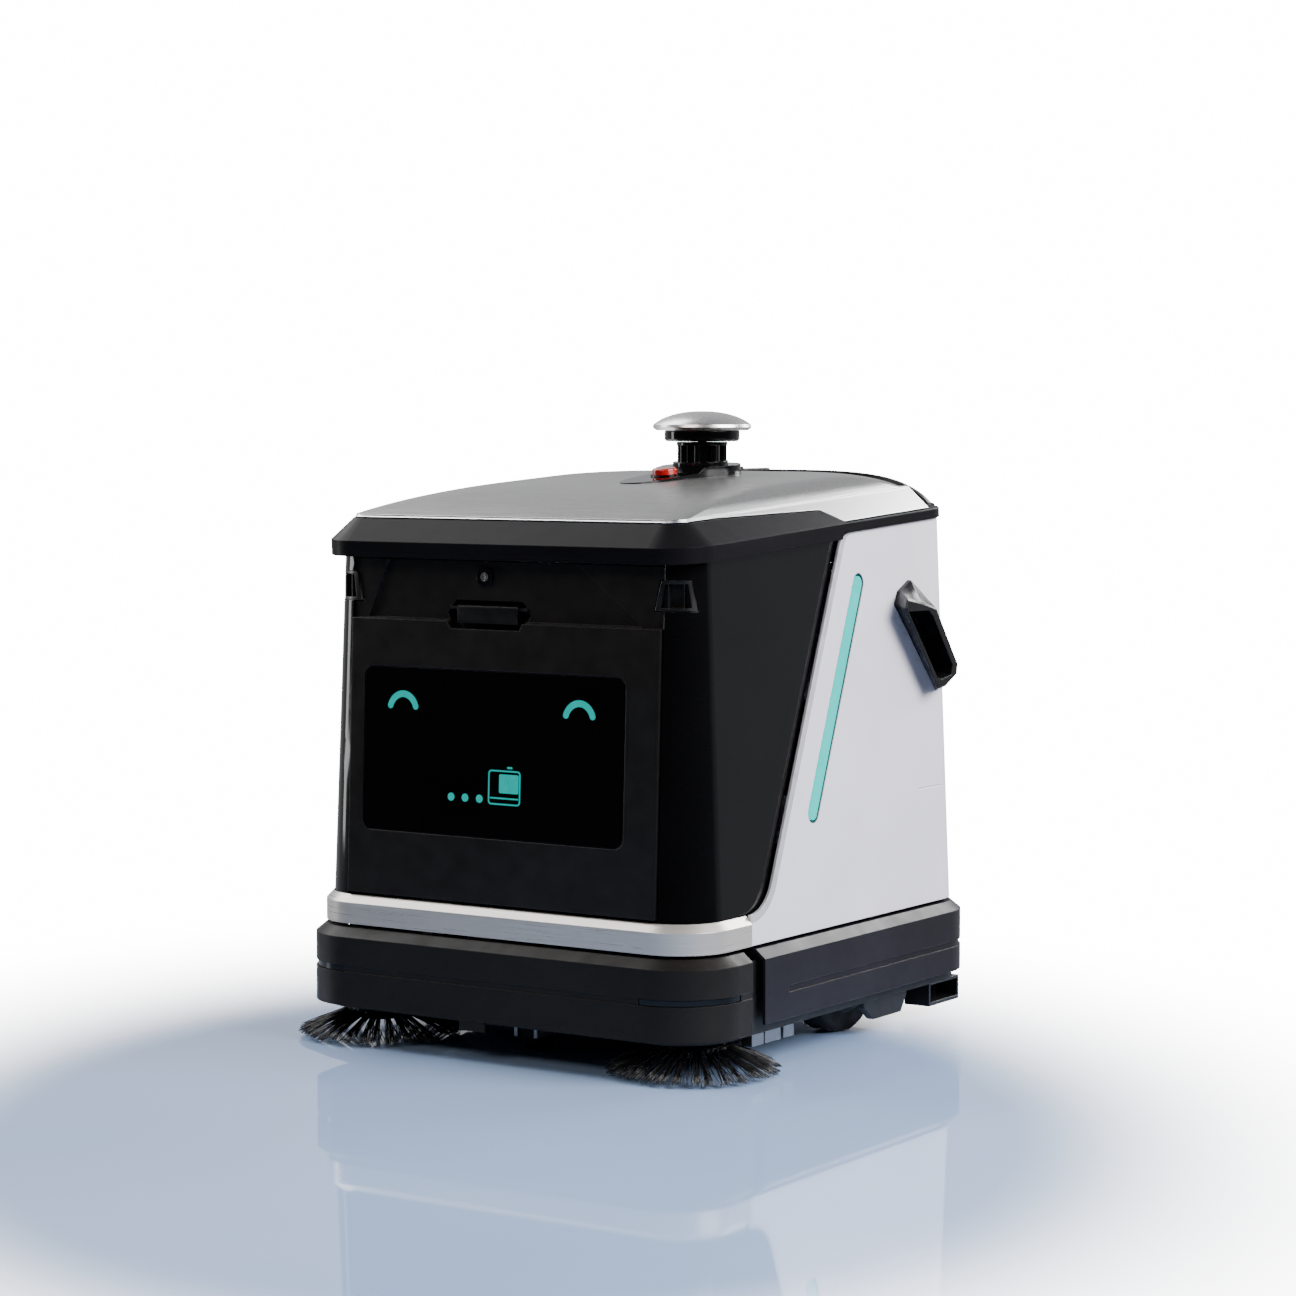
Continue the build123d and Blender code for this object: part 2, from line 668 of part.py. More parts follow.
def latch_outline(margin):
    """Six-sided outline of the latch recess, shrunk by margin."""
    high = LATCH_HIGH - margin
    low = LATCH_LOW + margin
    middle = (LATCH_HIGH + LATCH_LOW) / 2 + 2
    return [
        (LATCH_CENTRE_X - 53 + margin, high),
        (LATCH_CENTRE_X + 53 - margin, high),
        (LATCH_CENTRE_X + 65 - margin, middle),
        (LATCH_CENTRE_X + 54 - margin, low),
        (LATCH_CENTRE_X - 54 + margin, low),
        (LATCH_CENTRE_X - 65 + margin, middle),
    ]


facet_outline = [(-216, 558), (207, 558), (72, 660), (-177, 660)]


def display_prism(margin, y_front, y_back):
    """Rounded rectangle of the display, shrunk by margin."""
    height = DISPLAY_HIGH - DISPLAY_LOW
    with BuildPart() as prism:
        with BuildSketch(Plane.XZ.offset(-y_front)):
            with Locations((DISPLAY_CENTRE_X, (DISPLAY_HIGH + DISPLAY_LOW) / 2)):
                RectangleRounded(DISPLAY_WIDTH - 2 * margin, height - 2 * margin, 14 - margin)
        extrude(amount=y_front - y_back)
    return prism.part


display_skin = body_shell(door_face_inset - 5, BAND_BOTTOM, BODY_TOP, 8.2)
facet_cutter = body_shell(door_face_inset - 20, BAND_BOTTOM, BODY_TOP, 20 + DOOR_STEP_DEPTH + 3.5)

# Latch: a paddle that hangs from a pin along its top edge, in a cup moulded into the door.
PADDLE_HALF = 51.0
PADDLE_TOP = 572.0
PADDLE_BOTTOM = 554.0
PADDLE_PIN_Y = -316.0
PADDLE_PIN_Z = 573.0
PADDLE_PIN_RADIUS = 2.5

with BuildPart() as front_door:
    add(door_wall & door_zone)
    add(step_cutter & step_zone, mode=Mode.SUBTRACT)
    add(facet_cutter & front_prism(facet_outline, -380, -250), mode=Mode.SUBTRACT)
    add(display_skin & display_prism(0, -380, -250), mode=Mode.SUBTRACT)
    add(front_prism(latch_outline(-3), -316, -298))
    add(front_prism(latch_outline(0), -380, -301.5), mode=Mode.SUBTRACT)
    add(rod(PADDLE_PIN_RADIUS, (LATCH_CENTRE_X - 60, PADDLE_PIN_Y, PADDLE_PIN_Z), (1, 0, 0), 120))
    add(rod(LOCK_RADIUS + RUNNING_CLEARANCE, (LOCK_X, -380, LOCK_Z), (0, 1, 0), 130), mode=Mode.SUBTRACT)
    add(door_notch, mode=Mode.SUBTRACT)
    add(mirrored(door_notch), mode=Mode.SUBTRACT)
    for x in HINGE_EYE_X:
        eye = rod(HINGE_EYE_RADIUS, (x - 12, DOOR_HINGE_Y, DOOR_HINGE_Z), (1, 0, 0), 24)
        add(eye)
        hole_start = (x - 20, DOOR_HINGE_Y, DOOR_HINGE_Z)
        pin_hole = rod(HINGE_PIN_RADIUS + RUNNING_CLEARANCE, hole_start, (1, 0, 0), 40)
        add(pin_hole, mode=Mode.SUBTRACT)
        for side in (-1, 1):
            low_x, high_x = sorted((x + side * 12, x + side * 24))
            relief_y = (DOOR_HINGE_Y - 6.5, DOOR_HINGE_Y + 30)
            add(box_between((low_x, high_x), relief_y, (DOOR_BOTTOM - 5, 228)), mode=Mode.SUBTRACT)
finish(front_door, "front_door")

with BuildPart() as display_glass:
    add(body_shell(door_face_inset + 0.4, BAND_BOTTOM, BODY_TOP, 2.4) & display_prism(1.0, -380, -250))
finish(display_glass, "display_glass")

with BuildPart() as latch_paddle:
    paddle_x = (LATCH_CENTRE_X - PADDLE_HALF + 4, LATCH_CENTRE_X + PADDLE_HALF - 4)
    add(rod(5, (paddle_x[0], PADDLE_PIN_Y, PADDLE_PIN_Z), (1, 0, 0), paddle_x[1] - paddle_x[0]))
    add(box_between(paddle_x, (PADDLE_PIN_Y - 5, PADDLE_PIN_Y + 1), (PADDLE_BOTTOM, PADDLE_PIN_Z)))
    bore_start = (paddle_x[0] - 5, PADDLE_PIN_Y, PADDLE_PIN_Z)
    add(rod(PADDLE_PIN_RADIUS + RUNNING_CLEARANCE, bore_start, (1, 0, 0), 120), mode=Mode.SUBTRACT)
finish(latch_paddle, "latch_paddle")

with BuildPart() as lock_cylinder:
    add(rod(LOCK_RADIUS, (LOCK_X, LOCK_FACE_Y, LOCK_Z), (0, 1, 0), 16))
    with Locations((LOCK_X, LOCK_FACE_Y, LOCK_Z)):
        Box(2.2, 6, 9, mode=Mode.SUBTRACT)
finish(lock_cylinder, "lock_cylinder")


# ---- Top rim and lid ---------------------------------------------------------------------------


def above_notch(lift):
    """Everything above the stepped line between rim and lid, raised by lift."""
    outline = [
        (-20, LID_EDGE_FRONT + lift),
        (EDGE_FALL_START, LID_EDGE_FRONT + lift),
        (NOTCH_START, LID_EDGE_SIDE + lift),
        (NOTCH_END, LID_EDGE_REAR + lift),
        (720, LID_EDGE_REAR + lift),
        (720, 300),
        (-20, 300),
    ]
    return side_prism(outline, -400, 400, DECK_SIDE)


HINGE_NOTCH = (226.0, 265.0)
HINGE_EYE = 7.0
HINGE_PIN = 3.0
HINGE_PIN_LENGTH = 40.0
HINGE_PIN_END = 251.0
REAR_LEDGE = -4.0
rim_body = deck_block(0, -RIM_BAND, 0) + deck_block(0, 0, RIM_CHAMFER_RISE, RIM_CHAMFER_RUN)
RIM_LAND = 42.0
PANEL_START_V = (panel_front(655) - DECK_FRONT) / DECK_COS - 4
band_relief = side_prism(
    [
        (PANEL_START_V, -RIM_BAND - 1),
        (PANEL_START_V + 5, -RIM_BAND_OVER_PANEL),
        (720, -RIM_BAND_OVER_PANEL),
        (720, -RIM_BAND - 1),
    ],
    -400,
    400,
    DECK_SIDE,
)
behind_lid = box_between((-400, 400), (LID_BACK, 420), (600, 800))
rim_opening = deck_block(RIM_LAND, REAR_LEDGE, RIM_CHAMFER_RISE)
rim_opening -= box_between((-400, 400), (LID_BACK - 10, 420), (600, 800))

with BuildPart() as top_rim:
    add(rim_body)
    add(deck_block(RIM_LAND, -RIM_BAND, REAR_LEDGE), mode=Mode.SUBTRACT)
    add(rim_opening, mode=Mode.SUBTRACT)
    add(above_notch(-LID_GAP), mode=Mode.SUBTRACT)
    add(band_relief, mode=Mode.SUBTRACT)
    add(deck_block(5, -RIM_BAND, -4) - deck_block(RIM_LAND - 5, -RIM_BAND, -4), mode=Mode.SUBTRACT)
    for side in (-1, 1):
        notch_x = sorted((side * HINGE_NOTCH[0], side * HINGE_NOTCH[1]))
        notch_y = (HINGE_Y - HINGE_EYE - 1.5, HINGE_Y + 30)
        add(box_between(notch_x, notch_y, (HINGE_Z - HINGE_EYE - 1.5, HINGE_Z + 30)), mode=Mode.SUBTRACT)
        bore_start = (side * HINGE_NOTCH[1], HINGE_Y, HINGE_Z)
        bore_depth = HINGE_NOTCH[1] - HINGE_PIN_END + HINGE_PIN_LENGTH + 2
        add(rod(HINGE_PIN + RUNNING_CLEARANCE, bore_start, (-side, 0, 0), bore_depth), mode=Mode.SUBTRACT)
finish(top_rim, "top_rim")

DOME_STEPS = 4
DOME_SIDE_RUN = 52.0
DOME_FRONT_RUN = 225.0
DOME_BACK_RUN = 54.0
DOME_BACK = 604.0
DOME_START_TURN = 50.0
DOME_CORNER_START = RIM_CORNER - RIM_CHAMFER_RUN
DOME_CORNER_END = 120.0
DOME_FOOT = LID_EDGE_FRONT + 3.5


def dome_outline(turn):
    """Plane height and rounded rectangle of the lid's shoulder, turn degrees up its elliptical arc."""
    start = math.radians(DOME_START_TURN)
    inward = 1 - math.cos(math.radians(turn)) / math.cos(start)
    rise = (math.sin(math.radians(turn)) - math.sin(start)) / (1 - math.sin(start))
    height = DOME_FOOT + (CROWN_HEIGHT - DOME_FOOT) * rise
    width = RIM_WIDTH - 2 * (RIM_CHAMFER_RUN + DOME_SIDE_RUN * inward)
    front = RIM_CHAMFER_RUN + DOME_FRONT_RUN * inward
    back = DOME_BACK - DOME_BACK_RUN * inward
    corner = DOME_CORNER_START + (DOME_CORNER_END - DOME_CORNER_START) * inward
    return height, width, front, back, corner


def lid_dome(margin=0.0):
    """Crowned top of the lid, from its edge to the flat crown; margin shrinks it for the hollow."""
    with BuildPart() as dome:
        for step in range(DOME_STEPS + 1):
            turn = DOME_START_TURN + (90 - DOME_START_TURN) * step / DOME_STEPS
            height, width, front, back, corner = dome_outline(turn)
            with BuildSketch(DECK.offset(height - margin)):
                with Locations((0, (front + back) / 2)):
                    RectangleRounded(width - 2 * margin, back - front - 2 * margin, corner - margin / 2)
        loft()
    return dome.part


# Stop button on the pod's sloping nose; the lid has a hole under it.
pod_v = (LIDAR_Y - DECK_FRONT) / DECK_COS
pod_tip_v = (POD_TIP - DECK_FRONT) / DECK_COS
NOSE_LOW = 0.5
NOSE_HIGH = 6.0
slope_start = pod_tip_v - 20
slope_end = pod_v - 62
BUTTON_RADIUS = 17.0
BUTTON_HEIGHT = 13.0
button_v = (50.0 - DECK_FRONT) / DECK_COS
slope_tan = (NOSE_HIGH - NOSE_LOW) / (slope_end - slope_start)
BUTTON_LEAN = math.degrees(math.atan(slope_tan)) + DECK_SLOPE
button_w = CROWN_HEIGHT + NOSE_LOW + (button_v - slope_start) * slope_tan
button_origin = DECK_SIDE.from_local_coords(Vector(button_v, button_w, 0))
button_sin = math.sin(math.radians(BUTTON_LEAN))
button_cos = math.cos(math.radians(BUTTON_LEAN))
BUTTON_PLANE = Plane(origin=button_origin, x_dir=(1, 0, 0), z_dir=(0, -button_sin, button_cos))


# Bow: a black bar behind the lid, whose feet carry the lid's hinge pins.
BOW_WIDTH = 9.0
BOW_OUTSIDE = [(262, 693), (238, 713), (205, 727.5), (160, 736.5), (105, 740.5), (0, 741.5)]
BOW_INSIDE = [(250, 686), (229, 705), (200, 719.5), (157, 729.5), (105, 734), (0, 735)]
STAY_X = 120.0
STAY_WIDTH = 14.0
STAY_FRONT = 215.0


def across(points):
    """Points of the right half, then the same points on the left half in reverse."""
    return points + [(-x, z) for x, z in reversed(points[:-1])]


with BuildPart() as lid_solid:
    add(lid_dome())
    add(deck_block(0, 0, RIM_CHAMFER_RISE, RIM_CHAMFER_RUN) & above_notch(0))
    add(deck_block(RIM_CHAMFER_RUN, LID_EDGE_FRONT, DOME_FOOT))
    add(behind_lid, mode=Mode.SUBTRACT)

LID_WALL = 4.0
lid_hollow = deck_block(RIM_CHAMFER_RUN + 8, -10, DOME_FOOT - LID_WALL)
lid_hollow -= box_between((-400, 400), (LID_BACK - 2 * LID_WALL, 420), (600, 800))

with BuildPart() as top_lid:
    add(lid_solid.part)
    add(lid_hollow, mode=Mode.SUBTRACT)
    add(lid_dome(LID_WALL), mode=Mode.SUBTRACT)
    with BuildSketch(BUTTON_PLANE.offset(4)):
        Circle(BUTTON_RADIUS + 0.3)
    extrude(amount=-16, mode=Mode.SUBTRACT)
finish(top_lid, "top_lid")

with BuildPart() as lid_bow:
    with BuildSketch(Plane.XZ.offset(-HINGE_Y - BOW_WIDTH / 2)):
        with BuildLine():
            outside = Spline(*across(BOW_OUTSIDE))
            inside = Spline(*across(BOW_INSIDE))
            Line(outside @ 0, inside @ 0)
            Line(outside @ 1, inside @ 1)
        make_face()
    extrude(amount=BOW_WIDTH)
    for side in (-1, 1):
        add(rod(HINGE_EYE, (side * 250, HINGE_Y, HINGE_Z), (side, 0, 0), 12))
        add(rod(HINGE_PIN, (side * HINGE_PIN_END, HINGE_Y, HINGE_Z), (-side, 0, 0), HINGE_PIN_LENGTH))
        stay_x = sorted((side * STAY_X - STAY_WIDTH / 2, side * STAY_X + STAY_WIDTH / 2))
        add(box_between(stay_x, (STAY_FRONT, HINGE_Y), (730, 736)))
    add(lid_solid.part, mode=Mode.SUBTRACT)
finish(lid_bow, "lid_bow")


# ---- Lidar, stop button and cable --------------------------------------------------------------

def pod_body():
    """Teardrop pod on the crown, its nose sloping down towards the front."""
    reach = pod_v - pod_tip_v
    turn = math.acos(POD_RADIUS / reach) - math.radians(6)
    shoulder = (POD_RADIUS * math.sin(turn), pod_v - POD_RADIUS * math.cos(turn))
    other = (-shoulder[0], shoulder[1])
    nose = (0, pod_tip_v)
    with BuildPart() as pod:
        with BuildSketch(DECK.offset(CROWN_HEIGHT)):
            with BuildLine():
                ThreePointArc(other, (0, pod_v + POD_RADIUS), shoulder)
                Spline(shoulder, (20, pod_tip_v + 14), nose, tangents=[(-0.5, -1), (-1, 0)])
                Spline(nose, (-20, pod_tip_v + 14), other, tangents=[(-1, 0), (-0.5, 1)])
            make_face()
        extrude(amount=POD_HEIGHT)
    slope = [
        (slope_start, CROWN_HEIGHT + NOSE_LOW),
        (slope_end, CROWN_HEIGHT + NOSE_HIGH),
        (slope_end + 12, CROWN_HEIGHT + POD_HEIGHT),
        (slope_end + 12, 140),
        (slope_start, 140),
    ]
    return pod.part - side_prism(slope, -100, 100, DECK_SIDE)


pod_shape = pod_body()

with BuildPart() as lidar_pod:
    add(pod_shape)
    with BuildSketch(BUTTON_PLANE.offset(2)):
        Circle(BUTTON_RADIUS + 2.2)
    extrude(amount=-5)
    with BuildSketch(BUTTON_PLANE.offset(3)):
        Circle(BUTTON_RADIUS + 0.3)
    extrude(amount=-12, mode=Mode.SUBTRACT)
finish(lidar_pod, "lidar_pod")

with BuildPart() as stop_button:
    with BuildSketch(BUTTON_PLANE.offset(-3)):
        Circle(BUTTON_RADIUS)
    extrude(amount=BUTTON_HEIGHT)
    fillet(stop_button.edges().sort_by(Axis.Z)[-1], 2.5)
finish(stop_button, "stop_button")

STEM_LOW = deck_height(LIDAR_Y, CROWN_HEIGHT + POD_HEIGHT)
RING_GAP = 0.6
STEM_TOP = LIDAR_RING_LOW - RING_GAP
CORE_RADIUS = 24.0
POST_RADIUS = 4.5
POST_START = 20.0
STEM_FOOT = 5.0
SPINDLE_RADIUS = 6.0

with BuildPart() as lidar_stem:
    with BuildSketch(DECK.offset(CROWN_HEIGHT + POD_HEIGHT)):
        with Locations((0, pod_v)):
            Circle(LIDAR_STEM_RADIUS + 3)
    extrude(amount=STEM_FOOT)
    with BuildSketch(Plane.XY.offset(STEM_LOW + STEM_FOOT / 2)):
        with Locations((0, LIDAR_Y)):
            Circle(CORE_RADIUS)
            with PolarLocations(LIDAR_STEM_RADIUS - POST_RADIUS - 0.5, 8, start_angle=POST_START):
                Circle(POST_RADIUS)
    extrude(amount=STEM_TOP - STEM_LOW - STEM_FOOT / 2)
    with BuildSketch(Plane.XY.offset(STEM_TOP - 5)):
        with Locations((0, LIDAR_Y)):
            Circle(LIDAR_STEM_RADIUS)
    extrude(amount=5)
    bore = rod(SPINDLE_RADIUS + RUNNING_CLEARANCE, (0, LIDAR_Y, STEM_TOP - 16), (0, 0, 1), 20)
    add(bore, mode=Mode.SUBTRACT)
finish(lidar_stem, "lidar_stem")

with BuildPart() as lidar_ring:
    with BuildSketch(Plane.XY.offset(LIDAR_RING_LOW)):
        with Locations((0, LIDAR_Y)):
            Circle(LIDAR_RING_RADIUS)
    extrude(amount=LIDAR_RING_HIGH - LIDAR_RING_LOW)
    fillet(lidar_ring.edges().sort_by(Axis.Z)[-1], 2)
    chamfer(lidar_ring.edges().sort_by(Axis.Z)[0], 3)
    add(rod(SPINDLE_RADIUS, (0, LIDAR_Y, STEM_TOP - 14), (0, 0, 1), 20))
finish(lidar_ring, "lidar_ring")

CAP_RIM = 4.0
with BuildPart() as lidar_cap:
    with BuildSketch(Plane.XZ.offset(-LIDAR_Y)):
        with BuildLine():
            Polyline(
                (0, LIDAR_TOP),
                (0, LIDAR_RING_HIGH),
                (LIDAR_CAP_RADIUS - 5, LIDAR_RING_HIGH),
                (LIDAR_CAP_RADIUS, LIDAR_RING_HIGH + CAP_RIM),
                (LIDAR_CAP_RADIUS - 1, LIDAR_RING_HIGH + CAP_RIM + 4),
            )
            Spline(
                (LIDAR_CAP_RADIUS - 1, LIDAR_RING_HIGH + CAP_RIM + 4),
                (LIDAR_CAP_RADIUS * 0.62, LIDAR_TOP - 5.5),
                (0, LIDAR_TOP),
                tangents=[(-0.75, 0.66), (-1, 0)],
            )
        make_face()
    revolve(axis=Axis((0, LIDAR_Y, 0), (0, 0, 1)))
finish(lidar_cap, "lidar_cap")


# Cable plug behind the pod, lying on the crown, and the short cable from it to the bow.
PLUG_FRONT = pod_v + POD_RADIUS - 4
PLUG_LENGTH = 48.0
CABLE_RADIUS = 3.0
with BuildPart() as lidar_cable:
    with BuildSketch(DECK.offset(CROWN_HEIGHT - 8)):
        with Locations((0, PLUG_FRONT + PLUG_LENGTH / 2)):
            RectangleRounded(18, PLUG_LENGTH, 4)
    extrude(amount=12)
    plug_end = DECK_SIDE.from_local_coords(Vector(PLUG_FRONT + PLUG_LENGTH - 3, CROWN_HEIGHT - 1.5, 0))
    add(rod(CABLE_RADIUS, plug_end, (0, 1, 0), HINGE_Y - BOW_WIDTH / 2 - plug_end.Y))
    add(lid_solid.part, mode=Mode.SUBTRACT)
    add(lidar_pod.part, mode=Mode.SUBTRACT)
finish(lidar_cable, "lidar_cable")


# ---- Rear panel and power button ---------------------------------------------------------------

rear_half = REAR_PANEL_HALF - 1.2
rear_panel_zone = box_between((-rear_half, rear_half), (200, 420), (0, 800))
below_rim_band = side_prism([(0, 0), (420, 0), (420, panel_top(420)), (0, panel_top(0))], -400, 400)
POWER_BUTTON_Z = 600.0
POWER_BUTTON_X = 95.0
POWER_BUTTON_RADIUS = 11.0
VENT_ROWS = 9
VENT_PITCH = 14.0
VENT_LOW = 300.0

with BuildPart() as rear_panel:
    add(body_shell(PANEL_INSET, BAND_BOTTOM, BODY_TOP, PANEL_WALL))
    add(rear_panel_zone, mode=Mode.INTERSECT)
    add(below_rim_band, mode=Mode.INTERSECT)
    with BuildSketch(Plane.XZ.offset(-300)):
        with Locations((0, VENT_LOW + VENT_PITCH * (VENT_ROWS - 1) / 2)):
            with GridLocations(110, VENT_PITCH, 2, VENT_ROWS):
                SlotOverall(96, 6)
        with Locations((POWER_BUTTON_X, POWER_BUTTON_Z)):
            Circle(POWER_BUTTON_RADIUS + 0.3)
    extrude(amount=-80, mode=Mode.SUBTRACT)
finish(rear_panel, "rear_panel")

power_face = BASE_DEPTH / 2 - inset_at(PANEL_INSET, POWER_BUTTON_Z)
with BuildPart() as power_button:
    add(rod(POWER_BUTTON_RADIUS, (POWER_BUTTON_X, power_face - 9, POWER_BUTTON_Z), (0, 1, 0), 12))
    chamfer(power_button.faces().sort_by(Axis.Y)[-1].edges(), 1)
finish(power_button, "power_button")

SCREW_RADIUS = 5.0
with BuildPart() as rear_screws:
    for x in (-136, 136):
        for z in (185, 400, 640):
            screw_y = BASE_DEPTH / 2 - inset_at(PANEL_INSET, z)
            screw = rod(SCREW_RADIUS, (x, screw_y + 0.2, z), (0, 1, 0), 2.4)
            add(screw - box_between((x - 1, x + 1), (screw_y + 1.6, screw_y + 4), (z - 4, z + 4)))
finish(rear_screws, "rear_screws")


# ---- Running gear ------------------------------------------------------------------------------

HUB_RADIUS = 60.0
SHAFT_RADIUS = 8.0
MOTOR_RADIUS = 36.0


def wheel_hub():
    """Right drive wheel hub with its stub shaft, which reaches into the motor."""
    inner = WHEEL_X - WHEEL_WIDTH / 2
    with BuildPart() as hub:
        add(rod(HUB_RADIUS, (inner, WHEEL_Y, WHEEL_RADIUS), (1, 0, 0), WHEEL_WIDTH))
        dish_start = (inner + WHEEL_WIDTH - 10, WHEEL_Y, WHEEL_RADIUS)
        add(rod(HUB_RADIUS - 12, dish_start, (1, 0, 0), 20), mode=Mode.SUBTRACT)
        add(rod(HUB_RADIUS - 42, (inner + WHEEL_WIDTH - 11, WHEEL_Y, WHEEL_RADIUS), (1, 0, 0), 9))
        add(rod(SHAFT_RADIUS, (inner - 26, WHEEL_Y, WHEEL_RADIUS), (1, 0, 0), 28))
    return hub.part


def wheel_tyre():
    """Right tyre with a rounded tread."""
    inner = WHEEL_X - WHEEL_WIDTH / 2
    with BuildPart() as tyre:
        add(rod(WHEEL_RADIUS, (inner, WHEEL_Y, WHEEL_RADIUS), (1, 0, 0), WHEEL_WIDTH))
        fillet(tyre.edges().filter_by(GeomType.CIRCLE), 6)
        hub_hole = rod(HUB_RADIUS, (inner - 1, WHEEL_Y, WHEEL_RADIUS), (1, 0, 0), WHEEL_WIDTH + 2)
        add(hub_hole, mode=Mode.SUBTRACT)
    return tyre.part


def drive_motor():
    """Right gear motor on the tray floor, bored for the wheel's shaft."""
    outer = WHEEL_X - WHEEL_WIDTH / 2 - 10
    with BuildPart() as motor:
        add(rod(MOTOR_RADIUS - 6, (outer - 100, WHEEL_Y, WHEEL_RADIUS), (1, 0, 0), 60))
        add(rod(MOTOR_RADIUS - 4, (outer - 42, WHEEL_Y, WHEEL_RADIUS), (1, 0, 0), 42))
        foot = ((outer - 36, outer - 6), (WHEEL_Y - 34, WHEEL_Y + 34), (TRAY_FLOOR + 0.5, TRAY_FLOOR + 20))
        add(box_between(*foot))
        bore = rod(SHAFT_RADIUS + RUNNING_CLEARANCE, (outer - 22, WHEEL_Y, WHEEL_RADIUS), (1, 0, 0), 30)
        add(bore, mode=Mode.SUBTRACT)
    return motor.part


hub_shape = wheel_hub()
tyre_shape = wheel_tyre()
motor_shape = drive_motor()

with BuildPart() as wheel_hub_right:
    add(hub_shape)
finish(wheel_hub_right, "wheel_hub_right")

with BuildPart() as wheel_hub_left:
    add(mirrored(hub_shape))
finish(wheel_hub_left, "wheel_hub_left")

with BuildPart() as tyre_right:
    add(tyre_shape)
finish(tyre_right, "tyre_right")

with BuildPart() as tyre_left:
    add(mirrored(tyre_shape))
finish(tyre_left, "tyre_left")

with BuildPart() as drive_motors:
    add(motor_shape)
    add(mirrored(motor_shape))
finish(drive_motors, "drive_motors")

CASTER_WIDTH = 22.0
CASTER_AXLE_Y = CASTER_Y + CASTER_TRAIL
FORK_TOP = 74.0

with BuildPart() as caster_fork:
    add(rod(26, (0, CASTER_Y, FORK_TOP - 6), (0, 0, 1), 6))
    add(rod(CASTER_STEM_RADIUS, (0, CASTER_Y, FORK_TOP - 1), (0, 0, 1), 26))
    for side in (-1, 1):
        low_x, high_x = sorted((side * 13, side * 18))
        add(box_between((low_x, high_x), (CASTER_Y - 16, CASTER_AXLE_Y + 12), (22, FORK_TOP - 2)))
    add(rod(4, (-18, CASTER_AXLE_Y, CASTER_RADIUS), (1, 0, 0), 36))
finish(caster_fork, "caster_fork")

with BuildPart() as caster_wheel:
    add(rod(CASTER_RADIUS, (-CASTER_WIDTH / 2, CASTER_AXLE_Y, CASTER_RADIUS), (1, 0, 0), CASTER_WIDTH))
    fillet(caster_wheel.edges().filter_by(GeomType.CIRCLE), 3)
    add(rod(4 + RUNNING_CLEARANCE, (-20, CASTER_AXLE_Y, CASTER_RADIUS), (1, 0, 0), 40), mode=Mode.SUBTRACT)
finish(caster_wheel, "caster_wheel")

GUARD_OUTLINE = [(63, 46.8), (66, 38), (90, 20), (164, 20), (178, 40), (180, 46.8)]
DECK_BLOCK_ENDS = [(-212, -184), (-181, -143), (-136, -111)]

with BuildPart() as wheel_guards:
    guard = side_prism(GUARD_OUTLINE, 292, 302)
    add(guard)
    add(mirrored(guard))
finish(wheel_guards, "wheel_guards")

with BuildPart() as deck_blocks:
    for ends in DECK_BLOCK_ENDS:
        block = box_between((285, 300), ends, (30, 46.8))
        add(block)
        add(mirrored(block))
finish(deck_blocks, "deck_blocks")

with BuildPart() as rear_skids:
    skid = box_between((262, 300), (246, 330), (14, 46.8)) - box_between((266, 310), (250, 326), (19, 43))
    add(skid)
    add(mirrored(skid))
finish(rear_skids, "rear_skids")


# ---- Cleaning gear -----------------------------------------------------------------------------

BRUSH_HUB_RADIUS = 24.0
BRUSH_TIP_LOW = 1.0


def side_brush():
    """Right side brush: hub, shaft and the cone that the bristles fill."""
    with BuildPart() as brush:
        with BuildSketch(Plane.XZ.offset(-SIDE_BRUSH_Y)):
            with BuildLine():
                Polyline(
                    (0, 45),
                    (BRUSH_HUB_RADIUS, 45),
                    (BRUSH_HUB_RADIUS + 30, 32),
                    (SIDE_BRUSH_RADIUS, 5),
                    (SIDE_BRUSH_RADIUS, BRUSH_TIP_LOW),
                    (SIDE_BRUSH_RADIUS - 12, BRUSH_TIP_LOW),
                    (BRUSH_HUB_RADIUS, 28),
                    (0, 28),
                    close=True,
                )
            make_face()
        revolve(axis=Axis((0, SIDE_BRUSH_Y, 0), (0, 0, 1)))
        add(rod(SIDE_BRUSH_SHAFT_RADIUS, (0, SIDE_BRUSH_Y, 44), (0, 0, 1), 34))
    return brush.part


brush_shape = Pos(SIDE_BRUSH_X, 0, 0) * side_brush()
with BuildPart() as side_brush_right:
    add(brush_shape)
finish(side_brush_right, "side_brush_right")

with BuildPart() as side_brush_left:
    add(mirrored(brush_shape))
finish(side_brush_left, "side_brush_left")

with BuildPart() as side_brush_motors:
    start = (SIDE_BRUSH_X, SIDE_BRUSH_Y, TRAY_FLOOR + 0.5)
    bore = rod(SIDE_BRUSH_SHAFT_RADIUS + RUNNING_CLEARANCE, start, (0, 0, 1), 30)
    motor = rod(26, start, (0, 0, 1), 62) - bore
    add(motor)
    add(mirrored(motor))
finish(side_brush_motors, "side_brush_motors")

HOUSING_HALF = SLOT_HALF - 2
HOUSING_TOP = 112.0
THROAT_FRONT = -154.2
ROLLER_SHAFT_RADIUS = 6.0
ROLLER_SHAFT_LEFT = -232.0
ROLLER_SHAFT_RIGHT = HOUSING_HALF

